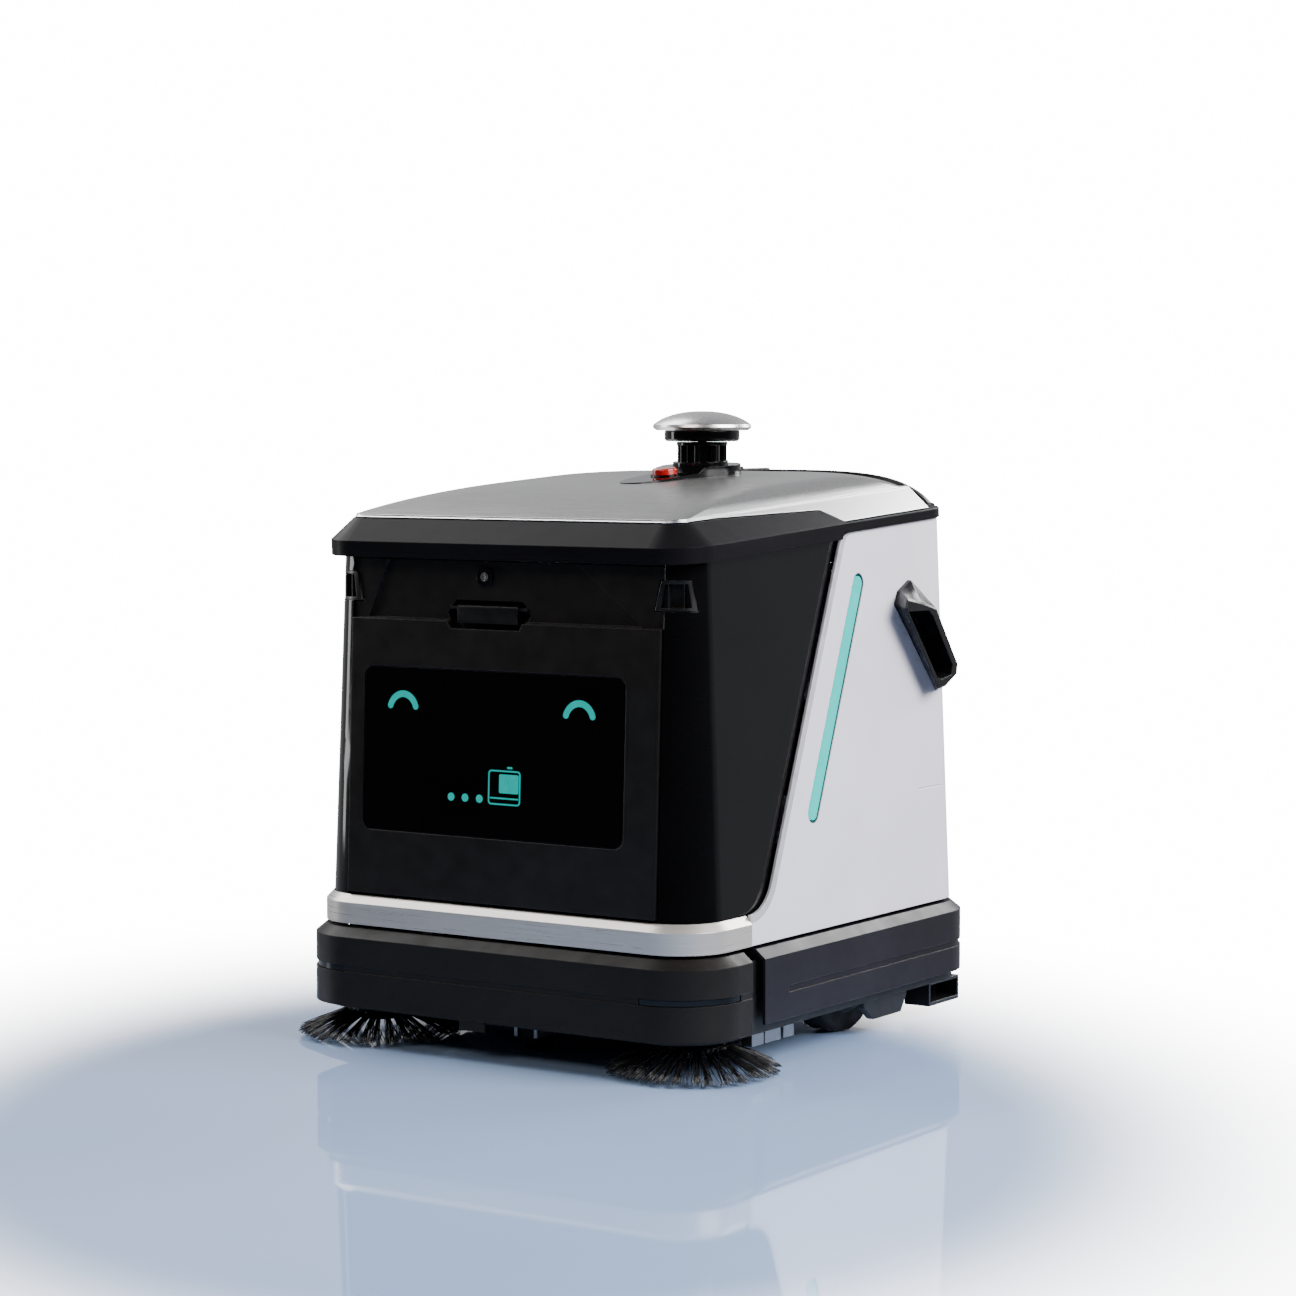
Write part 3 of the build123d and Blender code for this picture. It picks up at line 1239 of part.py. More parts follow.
with BuildPart() as roller_housing:
    housing_y = (SLOT_FRONT + 1, SLOT_BACK - 1)
    add(box_between((-HOUSING_HALF, HOUSING_HALF), housing_y, (TRAY_BOTTOM, HOUSING_TOP)))
    for side in (-1, 1):
        low_x, high_x = sorted((side * (HOUSING_HALF - 5), side * HOUSING_HALF))
        add(box_between((low_x, high_x), (ROLLER_Y - 16, ROLLER_Y + 16), (ROLLER_Z - 16, TRAY_BOTTOM + 1)))
    tunnel_start = (-ROLLER_HALF - 1, ROLLER_Y, ROLLER_Z)
    add(rod(ROLLER_RADIUS + 2, tunnel_start, (1, 0, 0), 2 * ROLLER_HALF + 2), mode=Mode.SUBTRACT)
    add(box_between((-144, 144), (THROAT_FRONT, THROAT_FRONT + 28), (HOUSING_TOP - 4, 316)))
    add(box_between((-138, 138), (THROAT_FRONT + 6, THROAT_FRONT + 22), (80, 310)), mode=Mode.SUBTRACT)
    add(box_between((-138, 138), (THROAT_FRONT - 1, THROAT_FRONT + 22), (252, 308)), mode=Mode.SUBTRACT)
    bore_start = (-HOUSING_HALF - 5, ROLLER_Y, ROLLER_Z)
    bore = rod(ROLLER_SHAFT_RADIUS + RUNNING_CLEARANCE, bore_start, (1, 0, 0), 2 * HOUSING_HALF + 10)
    add(bore, mode=Mode.SUBTRACT)
finish(roller_housing, "roller_housing")

PULLEY_X = (-230.0, -218.0)
ROLLER_PULLEY_RADIUS = 24.0
MOTOR_PULLEY_RADIUS = 16.0
BRUSH_MOTOR_Y = -52.0
BRUSH_MOTOR_Z = 152.0
BELT_THICKNESS = 2.0
BELT_GAP = 0.3

with BuildPart() as roller_brush:
    add(rod(ROLLER_RADIUS, (-ROLLER_HALF, ROLLER_Y, ROLLER_Z), (1, 0, 0), 2 * ROLLER_HALF))
    shaft_length = ROLLER_SHAFT_RIGHT - ROLLER_SHAFT_LEFT
    add(rod(ROLLER_SHAFT_RADIUS, (ROLLER_SHAFT_LEFT, ROLLER_Y, ROLLER_Z), (1, 0, 0), shaft_length))
    add(rod(ROLLER_PULLEY_RADIUS, (PULLEY_X[0], ROLLER_Y, ROLLER_Z), (1, 0, 0), PULLEY_X[1] - PULLEY_X[0]))
finish(roller_brush, "roller_brush")

with BuildPart() as motor_pulley:
    pulley_start = (PULLEY_X[0], BRUSH_MOTOR_Y, BRUSH_MOTOR_Z)
    add(rod(MOTOR_PULLEY_RADIUS, pulley_start, (1, 0, 0), PULLEY_X[1] - PULLEY_X[0]))
    add(rod(4, pulley_start, (1, 0, 0), 40))
finish(motor_pulley, "motor_pulley")

with BuildPart() as roller_motor:
    add(rod(28, (-200, BRUSH_MOTOR_Y, BRUSH_MOTOR_Z), (1, 0, 0), 110))
    foot_z = (HOUSING_TOP + 0.2, BRUSH_MOTOR_Z - 20)
    add(box_between((-190, -100), (BRUSH_MOTOR_Y - 20, BRUSH_MOTOR_Y + 8), foot_z))
    bore = rod(4 + RUNNING_CLEARANCE, (-201, BRUSH_MOTOR_Y, BRUSH_MOTOR_Z), (1, 0, 0), 30)
    add(bore, mode=Mode.SUBTRACT)
finish(roller_motor, "roller_motor")


def belt_loop(grow):
    """Outline round both pulleys, standing grow off them."""
    with BuildPart() as loop:
        with BuildSketch(Plane.YZ.offset(PULLEY_X[0] + 1)):
            with BuildLine():
                CenterArc((ROLLER_Y, ROLLER_Z), ROLLER_PULLEY_RADIUS + grow, 0, 360)
                CenterArc((BRUSH_MOTOR_Y, BRUSH_MOTOR_Z), MOTOR_PULLEY_RADIUS + grow, 0, 360)
            make_hull()
        extrude(amount=PULLEY_X[1] - PULLEY_X[0] - 2)
    return loop.part


with BuildPart() as drive_belt:
    add(belt_loop(BELT_GAP + BELT_THICKNESS) - belt_loop(BELT_GAP))
finish(drive_belt, "drive_belt")

BIN = ((-165, 165), (-284, -155), (243, 370))
with BuildPart() as dust_bin:
    add(box_between(*BIN))
    fillet(dust_bin.edges().filter_by(Axis.Z), 12)
    offset(amount=-3, openings=dust_bin.faces().sort_by(Axis.Z)[-1])
    inlet = box_between((-140, 140), (-170, -150), (252, 308))
    add(inlet, mode=Mode.SUBTRACT)
    grip = box_between((-50, 50), (-297, -283), (290, 320))
    grip -= box_between((-40, 40), (-291, -280), (285, 325))
    add(grip)
finish(dust_bin, "dust_bin")

FILTER_LOW = BIN[2][1] + 1
with BuildPart() as filter_cassette:
    add(box_between((-160, 160), (-280, -160), (FILTER_LOW, FILTER_LOW + 30)))
    with BuildSketch(Plane.XY.offset(FILTER_LOW + 22)):
        with Locations((0, -220)):
            with GridLocations(16, 0, 18, 1):
                Rectangle(7, 96)
    extrude(amount=10, mode=Mode.SUBTRACT)
finish(filter_cassette, "filter_cassette")

DUCT_LOW = FILTER_LOW + 31
DUCT_HIGH = DUCT_LOW + 50
FAN_Y = 60.0
with BuildPart() as suction_duct:
    add(box_between((-80, 80), (-280, FAN_Y + 70), (DUCT_LOW, DUCT_HIGH)))
    add(box_between((-76, 76), (-276, FAN_Y + 66), (DUCT_LOW + 4, DUCT_HIGH - 4)), mode=Mode.SUBTRACT)
    add(box_between((-70, 70), (-270, -170), (DUCT_LOW - 1, DUCT_LOW + 5)), mode=Mode.SUBTRACT)
    add(rod(38, (0, FAN_Y, DUCT_HIGH - 6), (0, 0, 1), 8), mode=Mode.SUBTRACT)
finish(suction_duct, "suction_duct")

FAN_LOW = DUCT_HIGH + 0.5
FAN_HIGH = FAN_LOW + 56
with BuildPart() as fan_housing:
    add(rod(88, (0, FAN_Y, FAN_LOW), (0, 0, 1), FAN_HIGH - FAN_LOW))
    add(box_between((20, 88), (FAN_Y, FAN_Y + 120), (FAN_LOW, FAN_HIGH)))
    add(rod(84, (0, FAN_Y, FAN_LOW + 4), (0, 0, 1), FAN_HIGH - FAN_LOW - 8), mode=Mode.SUBTRACT)
    add(box_between((24, 84), (FAN_Y, FAN_Y + 125), (FAN_LOW + 4, FAN_HIGH - 4)), mode=Mode.SUBTRACT)
    add(rod(38, (0, FAN_Y, FAN_LOW - 1), (0, 0, 1), 8), mode=Mode.SUBTRACT)
    add(rod(42, (0, FAN_Y, FAN_HIGH - 1), (0, 0, 1), 60))
    add(rod(5 + RUNNING_CLEARANCE, (0, FAN_Y, FAN_HIGH - 6), (0, 0, 1), 42), mode=Mode.SUBTRACT)
finish(fan_housing, "fan_housing")

BLADES = 9
with BuildPart() as fan_impeller:
    add(rod(70, (0, FAN_Y, FAN_HIGH - 12), (0, 0, 1), 4))
    add(rod(16, (0, FAN_Y, FAN_HIGH - 36), (0, 0, 1), 26))
    add(rod(5, (0, FAN_Y, FAN_HIGH - 10), (0, 0, 1), 34))
    with BuildSketch(Plane.XY.offset(FAN_HIGH - 38)):
        with Locations((0, FAN_Y)):
            with PolarLocations(43, BLADES):
                Rectangle(52, 3, rotation=35)
    extrude(amount=27)
finish(fan_impeller, "fan_impeller")

with BuildPart() as battery_pack:
    add(box_between((-150, 150), (142, 316), (TRAY_FLOOR + 0.5, 235)))
    fillet(battery_pack.edges().filter_by(Axis.Z), 8)
    add(box_between((-60, 60), (222, 236), (234.9, 262)) - box_between((-50, 50), (220, 240), (235, 254)))
finish(battery_pack, "battery_pack")

with BuildPart() as controller_box:
    add(box_between((-130, 130), (236, 300), (290, 420)))
    fillet(controller_box.edges().filter_by(Axis.Y), 6)
finish(controller_box, "controller_box")
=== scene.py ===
"""Looks of the robotic floor cleaner: materials, bristles, cords, display graphics, light, camera.

Metres. +Z is up, the front faces -Y, and the origin is on the floor under the centre of the machine.
"""

import math
import random

import bmesh
import bpy
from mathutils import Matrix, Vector


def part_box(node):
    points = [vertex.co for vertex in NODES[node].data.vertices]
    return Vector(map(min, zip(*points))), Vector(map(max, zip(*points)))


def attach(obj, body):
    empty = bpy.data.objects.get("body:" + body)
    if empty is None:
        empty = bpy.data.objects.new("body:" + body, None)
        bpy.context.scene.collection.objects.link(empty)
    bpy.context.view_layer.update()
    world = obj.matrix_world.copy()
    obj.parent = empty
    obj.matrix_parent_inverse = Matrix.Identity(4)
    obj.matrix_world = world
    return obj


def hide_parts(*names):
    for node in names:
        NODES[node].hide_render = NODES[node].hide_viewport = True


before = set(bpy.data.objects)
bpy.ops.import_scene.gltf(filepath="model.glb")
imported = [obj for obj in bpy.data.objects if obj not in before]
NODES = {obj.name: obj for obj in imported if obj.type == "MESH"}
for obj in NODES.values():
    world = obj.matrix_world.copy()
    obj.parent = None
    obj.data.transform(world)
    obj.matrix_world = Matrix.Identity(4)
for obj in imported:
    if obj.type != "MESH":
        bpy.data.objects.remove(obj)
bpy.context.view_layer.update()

# ---- Driving dimensions ------------------------------------------------------------------------

CAMERA_PLACE = Vector((2.49435, -3.76079, 0.81404))
CAMERA_AZIMUTH = 33.513
CAMERA_DOWN = 3.902
CAMERA_LENS = 93.74
CAMERA_SENSOR = 36.0

LOCK_AXIS = (-0.033, 0, 0.613)
LOCK_PLUG = 0.0056
LOCK_PLUG_EDGE = 0.0004

# Noise scales are in cells per metre. Most of a noise lies between NOISE_LOW and NOISE_HIGH.
CLOUD_SCALE = 7.0
SMUDGE_SCALE = 38.0
NOISE_LOW = 0.3
NOISE_HIGH = 0.7

COAT_ROUGHNESS = 0.04
GLOW_SPECULAR = 0.2
BEVEL_SAMPLES = 4

# The lid gets a painted highlight, its colour turned to white, on its steep flanks: none where its
# normal's Z is above the first, full where it is below the second.
FLANK_HIGHLIGHT_START = 0.84
FLANK_HIGHLIGHT_FULL = 0.76

# Below these a radius counts as on the axis and a sweep's direction as vertical.
ON_AXIS = 1e-6
NEARLY_VERTICAL = 0.001


# ---- Material helpers --------------------------------------------------------------------------


def paint(code):
    """Linear colour of a six-digit hexadecimal sRGB code."""
    linear = []
    for start in (0, 2, 4):
        value = int(code[start:start + 2], 16) / 255
        linear.append(value / 12.92 if value <= 0.04045 else ((value + 0.055) / 1.055) ** 2.4)
    return (*linear, 1.0)


def new_material(name):
    """A node material, its node tree and its principled shader."""
    material = bpy.data.materials.new(name)
    material.use_nodes = True
    tree = material.node_tree
    return material, tree, tree.nodes["Principled BSDF"]


def noise(tree, scale, detail, stretch=(1, 1, 1)):
    """Noise in object space, stretched per axis."""
    place = tree.nodes.new("ShaderNodeTexCoord")
    mapping = tree.nodes.new("ShaderNodeMapping")
    mapping.inputs["Scale"].default_value = stretch
    texture = tree.nodes.new("ShaderNodeTexNoise")
    texture.inputs["Scale"].default_value = scale
    texture.inputs["Detail"].default_value = detail
    tree.links.new(place.outputs["Object"], mapping.inputs["Vector"])
    tree.links.new(mapping.outputs["Vector"], texture.inputs["Vector"])
    return texture.outputs["Fac"]


def ramp(tree, value, stops):
    """Colour ramp over (position, colour) stops."""
    node = tree.nodes.new("ShaderNodeValToRGB")
    elements = node.color_ramp.elements
    elements[0].position, elements[0].color = stops[0]
    elements[1].position, elements[1].color = stops[-1]
    for position, colour in stops[1:-1]:
        element = elements.new(position)
        element.color = colour
    tree.links.new(value, node.inputs["Fac"])
    return node.outputs["Color"]


def blend(tree, value, dark, light):
    """Colour between two sRGB codes over the usual range of a noise."""
    return ramp(tree, value, [(NOISE_LOW, paint(dark)), (NOISE_HIGH, paint(light))])


def spread(tree, value, low, high):
    """Noise value mapped from its usual range onto low to high."""
    node = tree.nodes.new("ShaderNodeMapRange")
    node.inputs["From Min"].default_value = NOISE_LOW
    node.inputs["From Max"].default_value = NOISE_HIGH
    node.inputs["To Min"].default_value = low
    node.inputs["To Max"].default_value = high
    tree.links.new(value, node.inputs["Value"])
    return node.outputs["Result"]


def relief(tree, shader, height, depth, edge_radius):
    """Bump of the given depth in metres, over edges rounded by edge_radius unless that is 0."""
    bump = tree.nodes.new("ShaderNodeBump")
    bump.inputs["Strength"].default_value = 1.0
    bump.inputs["Distance"].default_value = depth
    tree.links.new(height, bump.inputs["Height"])
    if edge_radius:
        bevel = tree.nodes.new("ShaderNodeBevel")
        bevel.samples = BEVEL_SAMPLES
        bevel.inputs["Radius"].default_value = edge_radius
        tree.links.new(bevel.outputs["Normal"], bump.inputs["Normal"])
    tree.links.new(bump.outputs["Normal"], shader.inputs["Normal"])


def plastic(name, dark, light, rough, grain, depth, coat=0.0, specular=0.5, edge=0.0012):
    """Moulded plastic with a fine grain and a slightly uneven colour and gloss."""
    material, tree, shader = new_material(name)
    cloud = noise(tree, CLOUD_SCALE, 3.0)
    fine = noise(tree, grain, 2.0)
    smudge = noise(tree, SMUDGE_SCALE, 5.0)
    tree.links.new(blend(tree, cloud, dark, light), shader.inputs["Base Color"])
    tree.links.new(spread(tree, smudge, rough[0], rough[1]), shader.inputs["Roughness"])
    relief(tree, shader, fine, depth, edge)
    shader.inputs["Specular IOR Level"].default_value = specular
    if coat:
        shader.inputs["Coat Weight"].default_value = coat
        shader.inputs["Coat Roughness"].default_value = COAT_ROUGHNESS
    return material


def paint_flank_highlight(tree, colour):
    """Colour turned to white on the faces that stand steeply: a painted highlight where the flanks catch
    the lights.
    """
    place = tree.nodes.new("ShaderNodeTexCoord")
    split = tree.nodes.new("ShaderNodeSeparateXYZ")
    steep = tree.nodes.new("ShaderNodeMapRange")
    steep.inputs["From Min"].default_value = FLANK_HIGHLIGHT_START
    steep.inputs["From Max"].default_value = FLANK_HIGHLIGHT_FULL
    mix = tree.nodes.new("ShaderNodeMix")
    mix.data_type = "RGBA"
    mix.inputs["B"].default_value = (1, 1, 1, 1)
    tree.links.new(place.outputs["Normal"], split.inputs["Vector"])
    tree.links.new(split.outputs["Z"], steep.inputs["Value"])
    tree.links.new(steep.outputs["Result"], mix.inputs["Factor"])
    tree.links.new(colour, mix.inputs["A"])
    return mix.outputs["Result"]


def metal(name, dark, light, rough, stretch, scale, depth, edge=0.001, metallic=1.0, flank_highlight=False):
    """Brushed metal whose grain runs along the axis with the smallest stretch."""
    material, tree, shader = new_material(name)
    grain = noise(tree, scale, 6.0, stretch)
    colour = blend(tree, grain, dark, light)
    # Painted highlight: the colour of the steep flanks is turned to white.
    if flank_highlight:
        colour = paint_flank_highlight(tree, colour)
    tree.links.new(colour, shader.inputs["Base Color"])
    tree.links.new(spread(tree, grain, rough[0], rough[1]), shader.inputs["Roughness"])
    relief(tree, shader, grain, depth, edge)
    shader.inputs["Metallic"].default_value = metallic
    return material


def glow(name, core, rim, strength, streak=40.0):
    """Lit plastic whose brightness varies a little along its length."""
    material, tree, shader = new_material(name)
    value = noise(tree, streak, 2.0)
    colour = ramp(tree, value, [(0.25, paint(rim)), (0.75, paint(core))])
    unlit = ramp(tree, value, [(0.25, paint("021c1b")), (0.75, paint("032422"))])
    tree.links.new(unlit, shader.inputs["Base Color"])
    tree.links.new(colour, shader.inputs["Emission Color"])
    shader.inputs["Specular IOR Level"].default_value = GLOW_SPECULAR
    tree.links.new(spread(tree, value, 0.25, 0.4), shader.inputs["Roughness"])
    shader.inputs["Emission Strength"].default_value = strength
    return material


def lock_face(name):
    """Black lock bezel with a bright metal plug in its middle."""
    material, tree, shader = new_material(name)
    place = tree.nodes.new("ShaderNodeTexCoord")
    offset = tree.nodes.new("ShaderNodeVectorMath")
    offset.operation = "SUBTRACT"
    offset.inputs[1].default_value = LOCK_AXIS
    flatten = tree.nodes.new("ShaderNodeVectorMath")
    flatten.operation = "MULTIPLY"
    flatten.inputs[1].default_value = (1, 0, 1)
    length = tree.nodes.new("ShaderNodeVectorMath")
    length.operation = "LENGTH"
    tree.links.new(place.outputs["Object"], offset.inputs[0])
    tree.links.new(offset.outputs["Vector"], flatten.inputs[0])
    tree.links.new(flatten.outputs["Vector"], length.inputs[0])
    plug = tree.nodes.new("ShaderNodeMapRange")
    plug.inputs["From Min"].default_value = LOCK_PLUG - LOCK_PLUG_EDGE
    plug.inputs["From Max"].default_value = LOCK_PLUG
    tree.links.new(length.outputs["Value"], plug.inputs["Value"])
    mask = plug.outputs["Result"]
    colour = ramp(tree, mask, [(0.0, paint("f2f2f2")), (1.0, paint("060607"))])
    metallic = ramp(tree, mask, [(0.0, (1, 1, 1, 1)), (1.0, (0, 0, 0, 1))])
    tree.links.new(colour, shader.inputs["Base Color"])
    tree.links.new(metallic, shader.inputs["Metallic"])
    tree.links.new(spread(tree, noise(tree, 300.0, 3.0), 0.12, 0.25), shader.inputs["Roughness"])
    relief(tree, shader, noise(tree, 900.0, 2.0), 0.000002, 0.0006)
    return material


# ---- Materials ---------------------------------------------------------------------------------

GLOSS_BLACK = plastic(
    "gloss_black", "060607", "09090a",
    rough=(0.05, 0.1), grain=300.0, depth=0.000001, specular=0.3,
)
DOOR_BLACK = plastic(
    "door_black", "141211", "191716",
    rough=(0.3, 0.4), grain=900.0, depth=0.000004, specular=0.26, edge=0.002,
)
DISPLAY_BLACK = plastic(
    "display_black", "020203", "040405",
    rough=(0.04, 0.08), grain=300.0, depth=0.000001, specular=0.2,
)
BUMPER_BLACK = plastic(
    "bumper_black", "171513", "1d1b19",
    rough=(0.34, 0.46), grain=1400.0, depth=0.000012, specular=0.14,
)
SKIRT_GREY = plastic(
    "skirt_grey", "17151a", "1e1c22",
    rough=(0.32, 0.44), grain=1400.0, depth=0.000012, specular=0.15,
)
RIM_GREY = plastic(
    "rim_grey", "100f11", "151417",
    rough=(0.3, 0.38), grain=1400.0, depth=0.000008, specular=0.05, edge=0.0016,
)
SATIN_BLACK = plastic(
    "satin_black", "0b0b0c", "101012",
    rough=(0.26, 0.38), grain=1200.0, depth=0.00002,
)
HANDLE_BLACK = plastic(
    "handle_black", "0c0c0e", "121215",
    rough=(0.24, 0.32), grain=1200.0, depth=0.000006, specular=0.22, edge=0.002,
)
DARK_PLASTIC = plastic(
    "dark_plastic", "101012", "17181b",
    rough=(0.45, 0.6), grain=800.0, depth=0.00006, specular=0.35,
)
PEARL = plastic(
    "pearl_white", "dcd9e4", "e5e2ec",
    rough=(0.28, 0.38), grain=2400.0, depth=0.000004, coat=0.3,
)
BAND_SILVER = metal(
    "band_silver", "c9c4bd", "d2cdc6",
    rough=(0.26, 0.34), stretch=(0.02, 0.02, 1.0), scale=420.0, depth=0.0000005, metallic=0.6,
)
TRIM_SILVER = metal(
    "trim_silver", "c3c2c7", "d6d5da",
    rough=(0.3, 0.38), stretch=(1.0, 1.0, 1.0), scale=60.0, depth=0.000001, metallic=0.45,
)
# The lid's steep flanks get a painted highlight, their colour turned to white.
LID_SILVER = metal(
    "lid_silver", "adacab", "bab9b8",
    rough=(0.26, 0.34), stretch=(0.02, 1.0, 1.0), scale=700.0, depth=0.000002, edge=0.0015, flank_highlight=True,
)
CAP_SILVER = metal(
    "cap_silver", "d9d7d6", "e9e7e6",
    rough=(0.26, 0.34), stretch=(1.0, 1.0, 1.0), scale=500.0, depth=0.000004,
)
STEEL = metal(
    "steel", "7c7d80", "a5a6a9",
    rough=(0.28, 0.42), stretch=(0.1, 1.0, 1.0), scale=500.0, depth=0.00001,
)
ALUMINIUM = metal(
    "aluminium", "8d8e92", "b4b5b8",
    rough=(0.35, 0.5), stretch=(1.0, 1.0, 0.1), scale=420.0, depth=0.00001,
)
BRASS = metal(
    "brass", "a98342", "d7b269",
    rough=(0.25, 0.4), stretch=(1.0, 0.2, 1.0), scale=500.0, depth=0.00001,
)
TEAL_LIGHT = glow("teal_light", "00e2dc", "00d8d0", strength=1.6)
TEAL_RECESS = plastic(
    "teal_recess", "01292c", "033c40",
    rough=(0.15, 0.3), grain=400.0, depth=0.00001, specular=0.3,
)
SCREEN_TEAL = glow("screen_teal", "00b3ab", "00a8a0", strength=1.05, streak=90.0)
RED_LAMP = plastic(
    "red_lamp", "a30d0d", "c41512",
    rough=(0.12, 0.2), grain=200.0, depth=0.000002, coat=0.6,
)
RUBBER = plastic(
    "rubber", "0c0c0d", "141415",
    rough=(0.6, 0.8), grain=600.0, depth=0.0001, specular=0.3,
)
BRISTLE = plastic(
    "bristle", "050506", "121214",
    rough=(0.2, 0.4), grain=500.0, depth=0.00002, edge=0.0,
)
ROLLER_BLUE = plastic(
    "roller_blue", "10161f", "1a2634",
    rough=(0.6, 0.8), grain=900.0, depth=0.0003, edge=0.0,
)
SMOKED = plastic("smoked_bin", "1d2328", "2c343b", rough=(0.12, 0.25), grain=300.0, depth=0.00001)
FILTER = plastic("filter_paper", "c9c7bb", "e0ded2", rough=(0.75, 0.9), grain=1500.0, depth=0.0002)
BATTERY = plastic("battery_case", "1a2430", "263444", rough=(0.4, 0.55), grain=900.0, depth=0.00005)
LOCK_FACE = lock_face("lock_face")

NODE_MATERIALS = {
    DOOR_BLACK: ["front_door"],
    GLOSS_BLACK: ["corner_covers", "lidar_pod", "lidar_stem", "lidar_ring", "bumper_windows"],
    DISPLAY_BLACK: ["display_glass"],
    BUMPER_BLACK: ["front_bumper"],
    SKIRT_GREY: ["skirt_left", "skirt_right", "rear_skirt"],
    RIM_GREY: ["top_rim"],
    HANDLE_BLACK: ["side_handles"],
    SATIN_BLACK: [
        "lid_bow",
        "latch_paddle",
        "sensor_bezels",
        "charging_block",
        "power_button",
        "rear_skids",
    ],
    DARK_PLASTIC: [
        "wheel_guards",
        "wheel_hub_left",
        "wheel_hub_right",
        "roller_housing",
        "suction_duct",
        "fan_housing",
        "chassis_tray",
    ],
    PEARL: ["side_panel_left", "side_panel_right", "rear_panel"],
    BAND_SILVER: ["front_band"],
    TRIM_SILVER: ["side_trims"],
    LID_SILVER: ["top_lid"],
    CAP_SILVER: ["lidar_cap"],
    LOCK_FACE: ["lock_cylinder"],
    STEEL: ["rear_screws", "caster_fork", "deck_blocks"],
    ALUMINIUM: [
        "body_frame",
        "door_frame",
        "drive_motors",
        "side_brush_motors",
        "roller_motor",
        "motor_pulley",
        "fan_impeller",
        "controller_box",
    ],
    BRASS: ["charging_contacts"],
    TEAL_LIGHT: ["light_bars"],
    TEAL_RECESS: ["light_trays"],
    RED_LAMP: ["stop_button"],
    RUBBER: ["tyre_left", "tyre_right", "caster_wheel", "drive_belt", "lidar_cable"],
    SMOKED: ["dust_bin"],
    FILTER: ["filter_cassette"],
    BATTERY: ["battery_pack"],
    ROLLER_BLUE: ["roller_brush"],
}

for material, names in NODE_MATERIALS.items():
    for name in names:
        mesh = NODES[name].data
        mesh.materials.clear()
        mesh.materials.append(material)


# ---- Mesh helpers ------------------------------------------------------------------------------


def add_piece(name, mesh_maker, material, body, smooth=True):
    """An object whose mesh the maker fills, riding on a body."""
    work = bmesh.new()
    mesh_maker(work)
    bmesh.ops.recalc_face_normals(work, faces=work.faces)
    mesh = bpy.data.meshes.new(name)
    work.to_mesh(mesh)
    work.free()
    if smooth:
        mesh.shade_smooth()
    mesh.materials.append(material)
    piece = bpy.data.objects.new(name, mesh)
    bpy.context.scene.collection.objects.link(piece)
    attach(piece, body)
    return piece


def sweep(work, path, radii, sides):
    """Closed tube along a path of points with a radius at each point."""
    rings = []
    for index, point in enumerate(path):
        before = path[max(index - 1, 0)]
        after = path[min(index + 1, len(path) - 1)]
        along = (after - before).normalized()
        across = along.cross(Vector((0, 0, 1)))
        if across.length < NEARLY_VERTICAL:
            across = along.cross(Vector((0, 1, 0)))
        across.normalize()
        up = across.cross(along)
        ring = []
        for side in range(sides):
            angle = math.tau * side / sides
            offset = (across * math.cos(angle) + up * math.sin(angle)) * radii[index]
            ring.append(work.verts.new(point + offset))
        rings.append(ring)
    for first, second in zip(rings, rings[1:]):
        for side in range(sides):
            other = (side + 1) % sides
            work.faces.new((first[side], first[other], second[other], second[side]))
    work.faces.new(rings[0][::-1])
    work.faces.new(rings[-1])


def turned(work, profile, centre, steps=48):
    """Solid of revolution about a vertical axis from (radius, height) points that start and end on it."""
    rings = []
    for radius, height in profile:
        if radius < ON_AXIS:
            rings.append([work.verts.new((centre.x, centre.y, height))])
            continue
        ring = []
        for step in range(steps):
            angle = math.tau * step / steps
            place = (centre.x + radius * math.cos(angle), centre.y + radius * math.sin(angle), height)
            ring.append(work.verts.new(place))
        rings.append(ring)
    for first, second in zip(rings, rings[1:]):
        for step in range(steps):
            other = (step + 1) % steps
            if len(first) == 1:
                work.faces.new((first[0], second[step], second[other]))
            elif len(second) == 1:
                work.faces.new((first[step], first[other], second[0]))
            else:
                work.faces.new((first[step], first[other], second[other], second[step]))


# ---- Side brushes ------------------------------------------------------------------------------

TUFTS = 32
BRISTLES_PER_TUFT = 20
BRISTLE_RADIUS = 0.0008
BRISTLE_TAPER = 0.35
BRISTLE_STEPS = 5
BRUSH_ROOT = 0.034
ROOT_HEIGHT = 0.034
TIP_HEIGHT = 0.0022
DROOP = 1.35

# Scatter of the bristles: a tuft's turn in tuft spacings and its lift, a bristle's turns in
# radians, its length as a part of the brush's reach, and the heights of its two ends.
TUFT_TURN = 0.18
TUFT_LIFT = 0.005
ROOT_TURN = 0.028
TIP_TURN = 0.045
SHORTEST = 0.9
LONGEST = 0.995
ROOT_SCATTER = 0.0035
TIP_SCATTER = 0.004

HUB_TOP = 0.0445
SHAFT_RADIUS = 0.006

# Distance from the brush's axis and height of a sleeve's ends.
SLEEVE_START = (0.030, 0.035)
SLEEVE_END = (0.044, 0.0325)
SLEEVE_RADII = [0.0038, 0.0034]


def brush_centre(node):
    """Axis of a side brush, on the floor."""
    low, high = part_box(node)
    return Vector(((low.x + high.x) / 2, (low.y + high.y) / 2, 0))


def brush_hub(centre, shaft_top):
    """Maker of a brush hub, a domed disc with a shaft, from (radius, height) points."""
    profile = [
        (0.0, 0.024),
        (0.030, 0.024),
        (0.040, 0.029),
        (0.041, 0.036),
        (0.034, 0.041),
        (0.022, HUB_TOP),
        (SHAFT_RADIUS, HUB_TOP),
        (SHAFT_RADIUS, shaft_top),
        (0.0, shaft_top),
    ]
    return lambda work: turned(work, profile, centre)


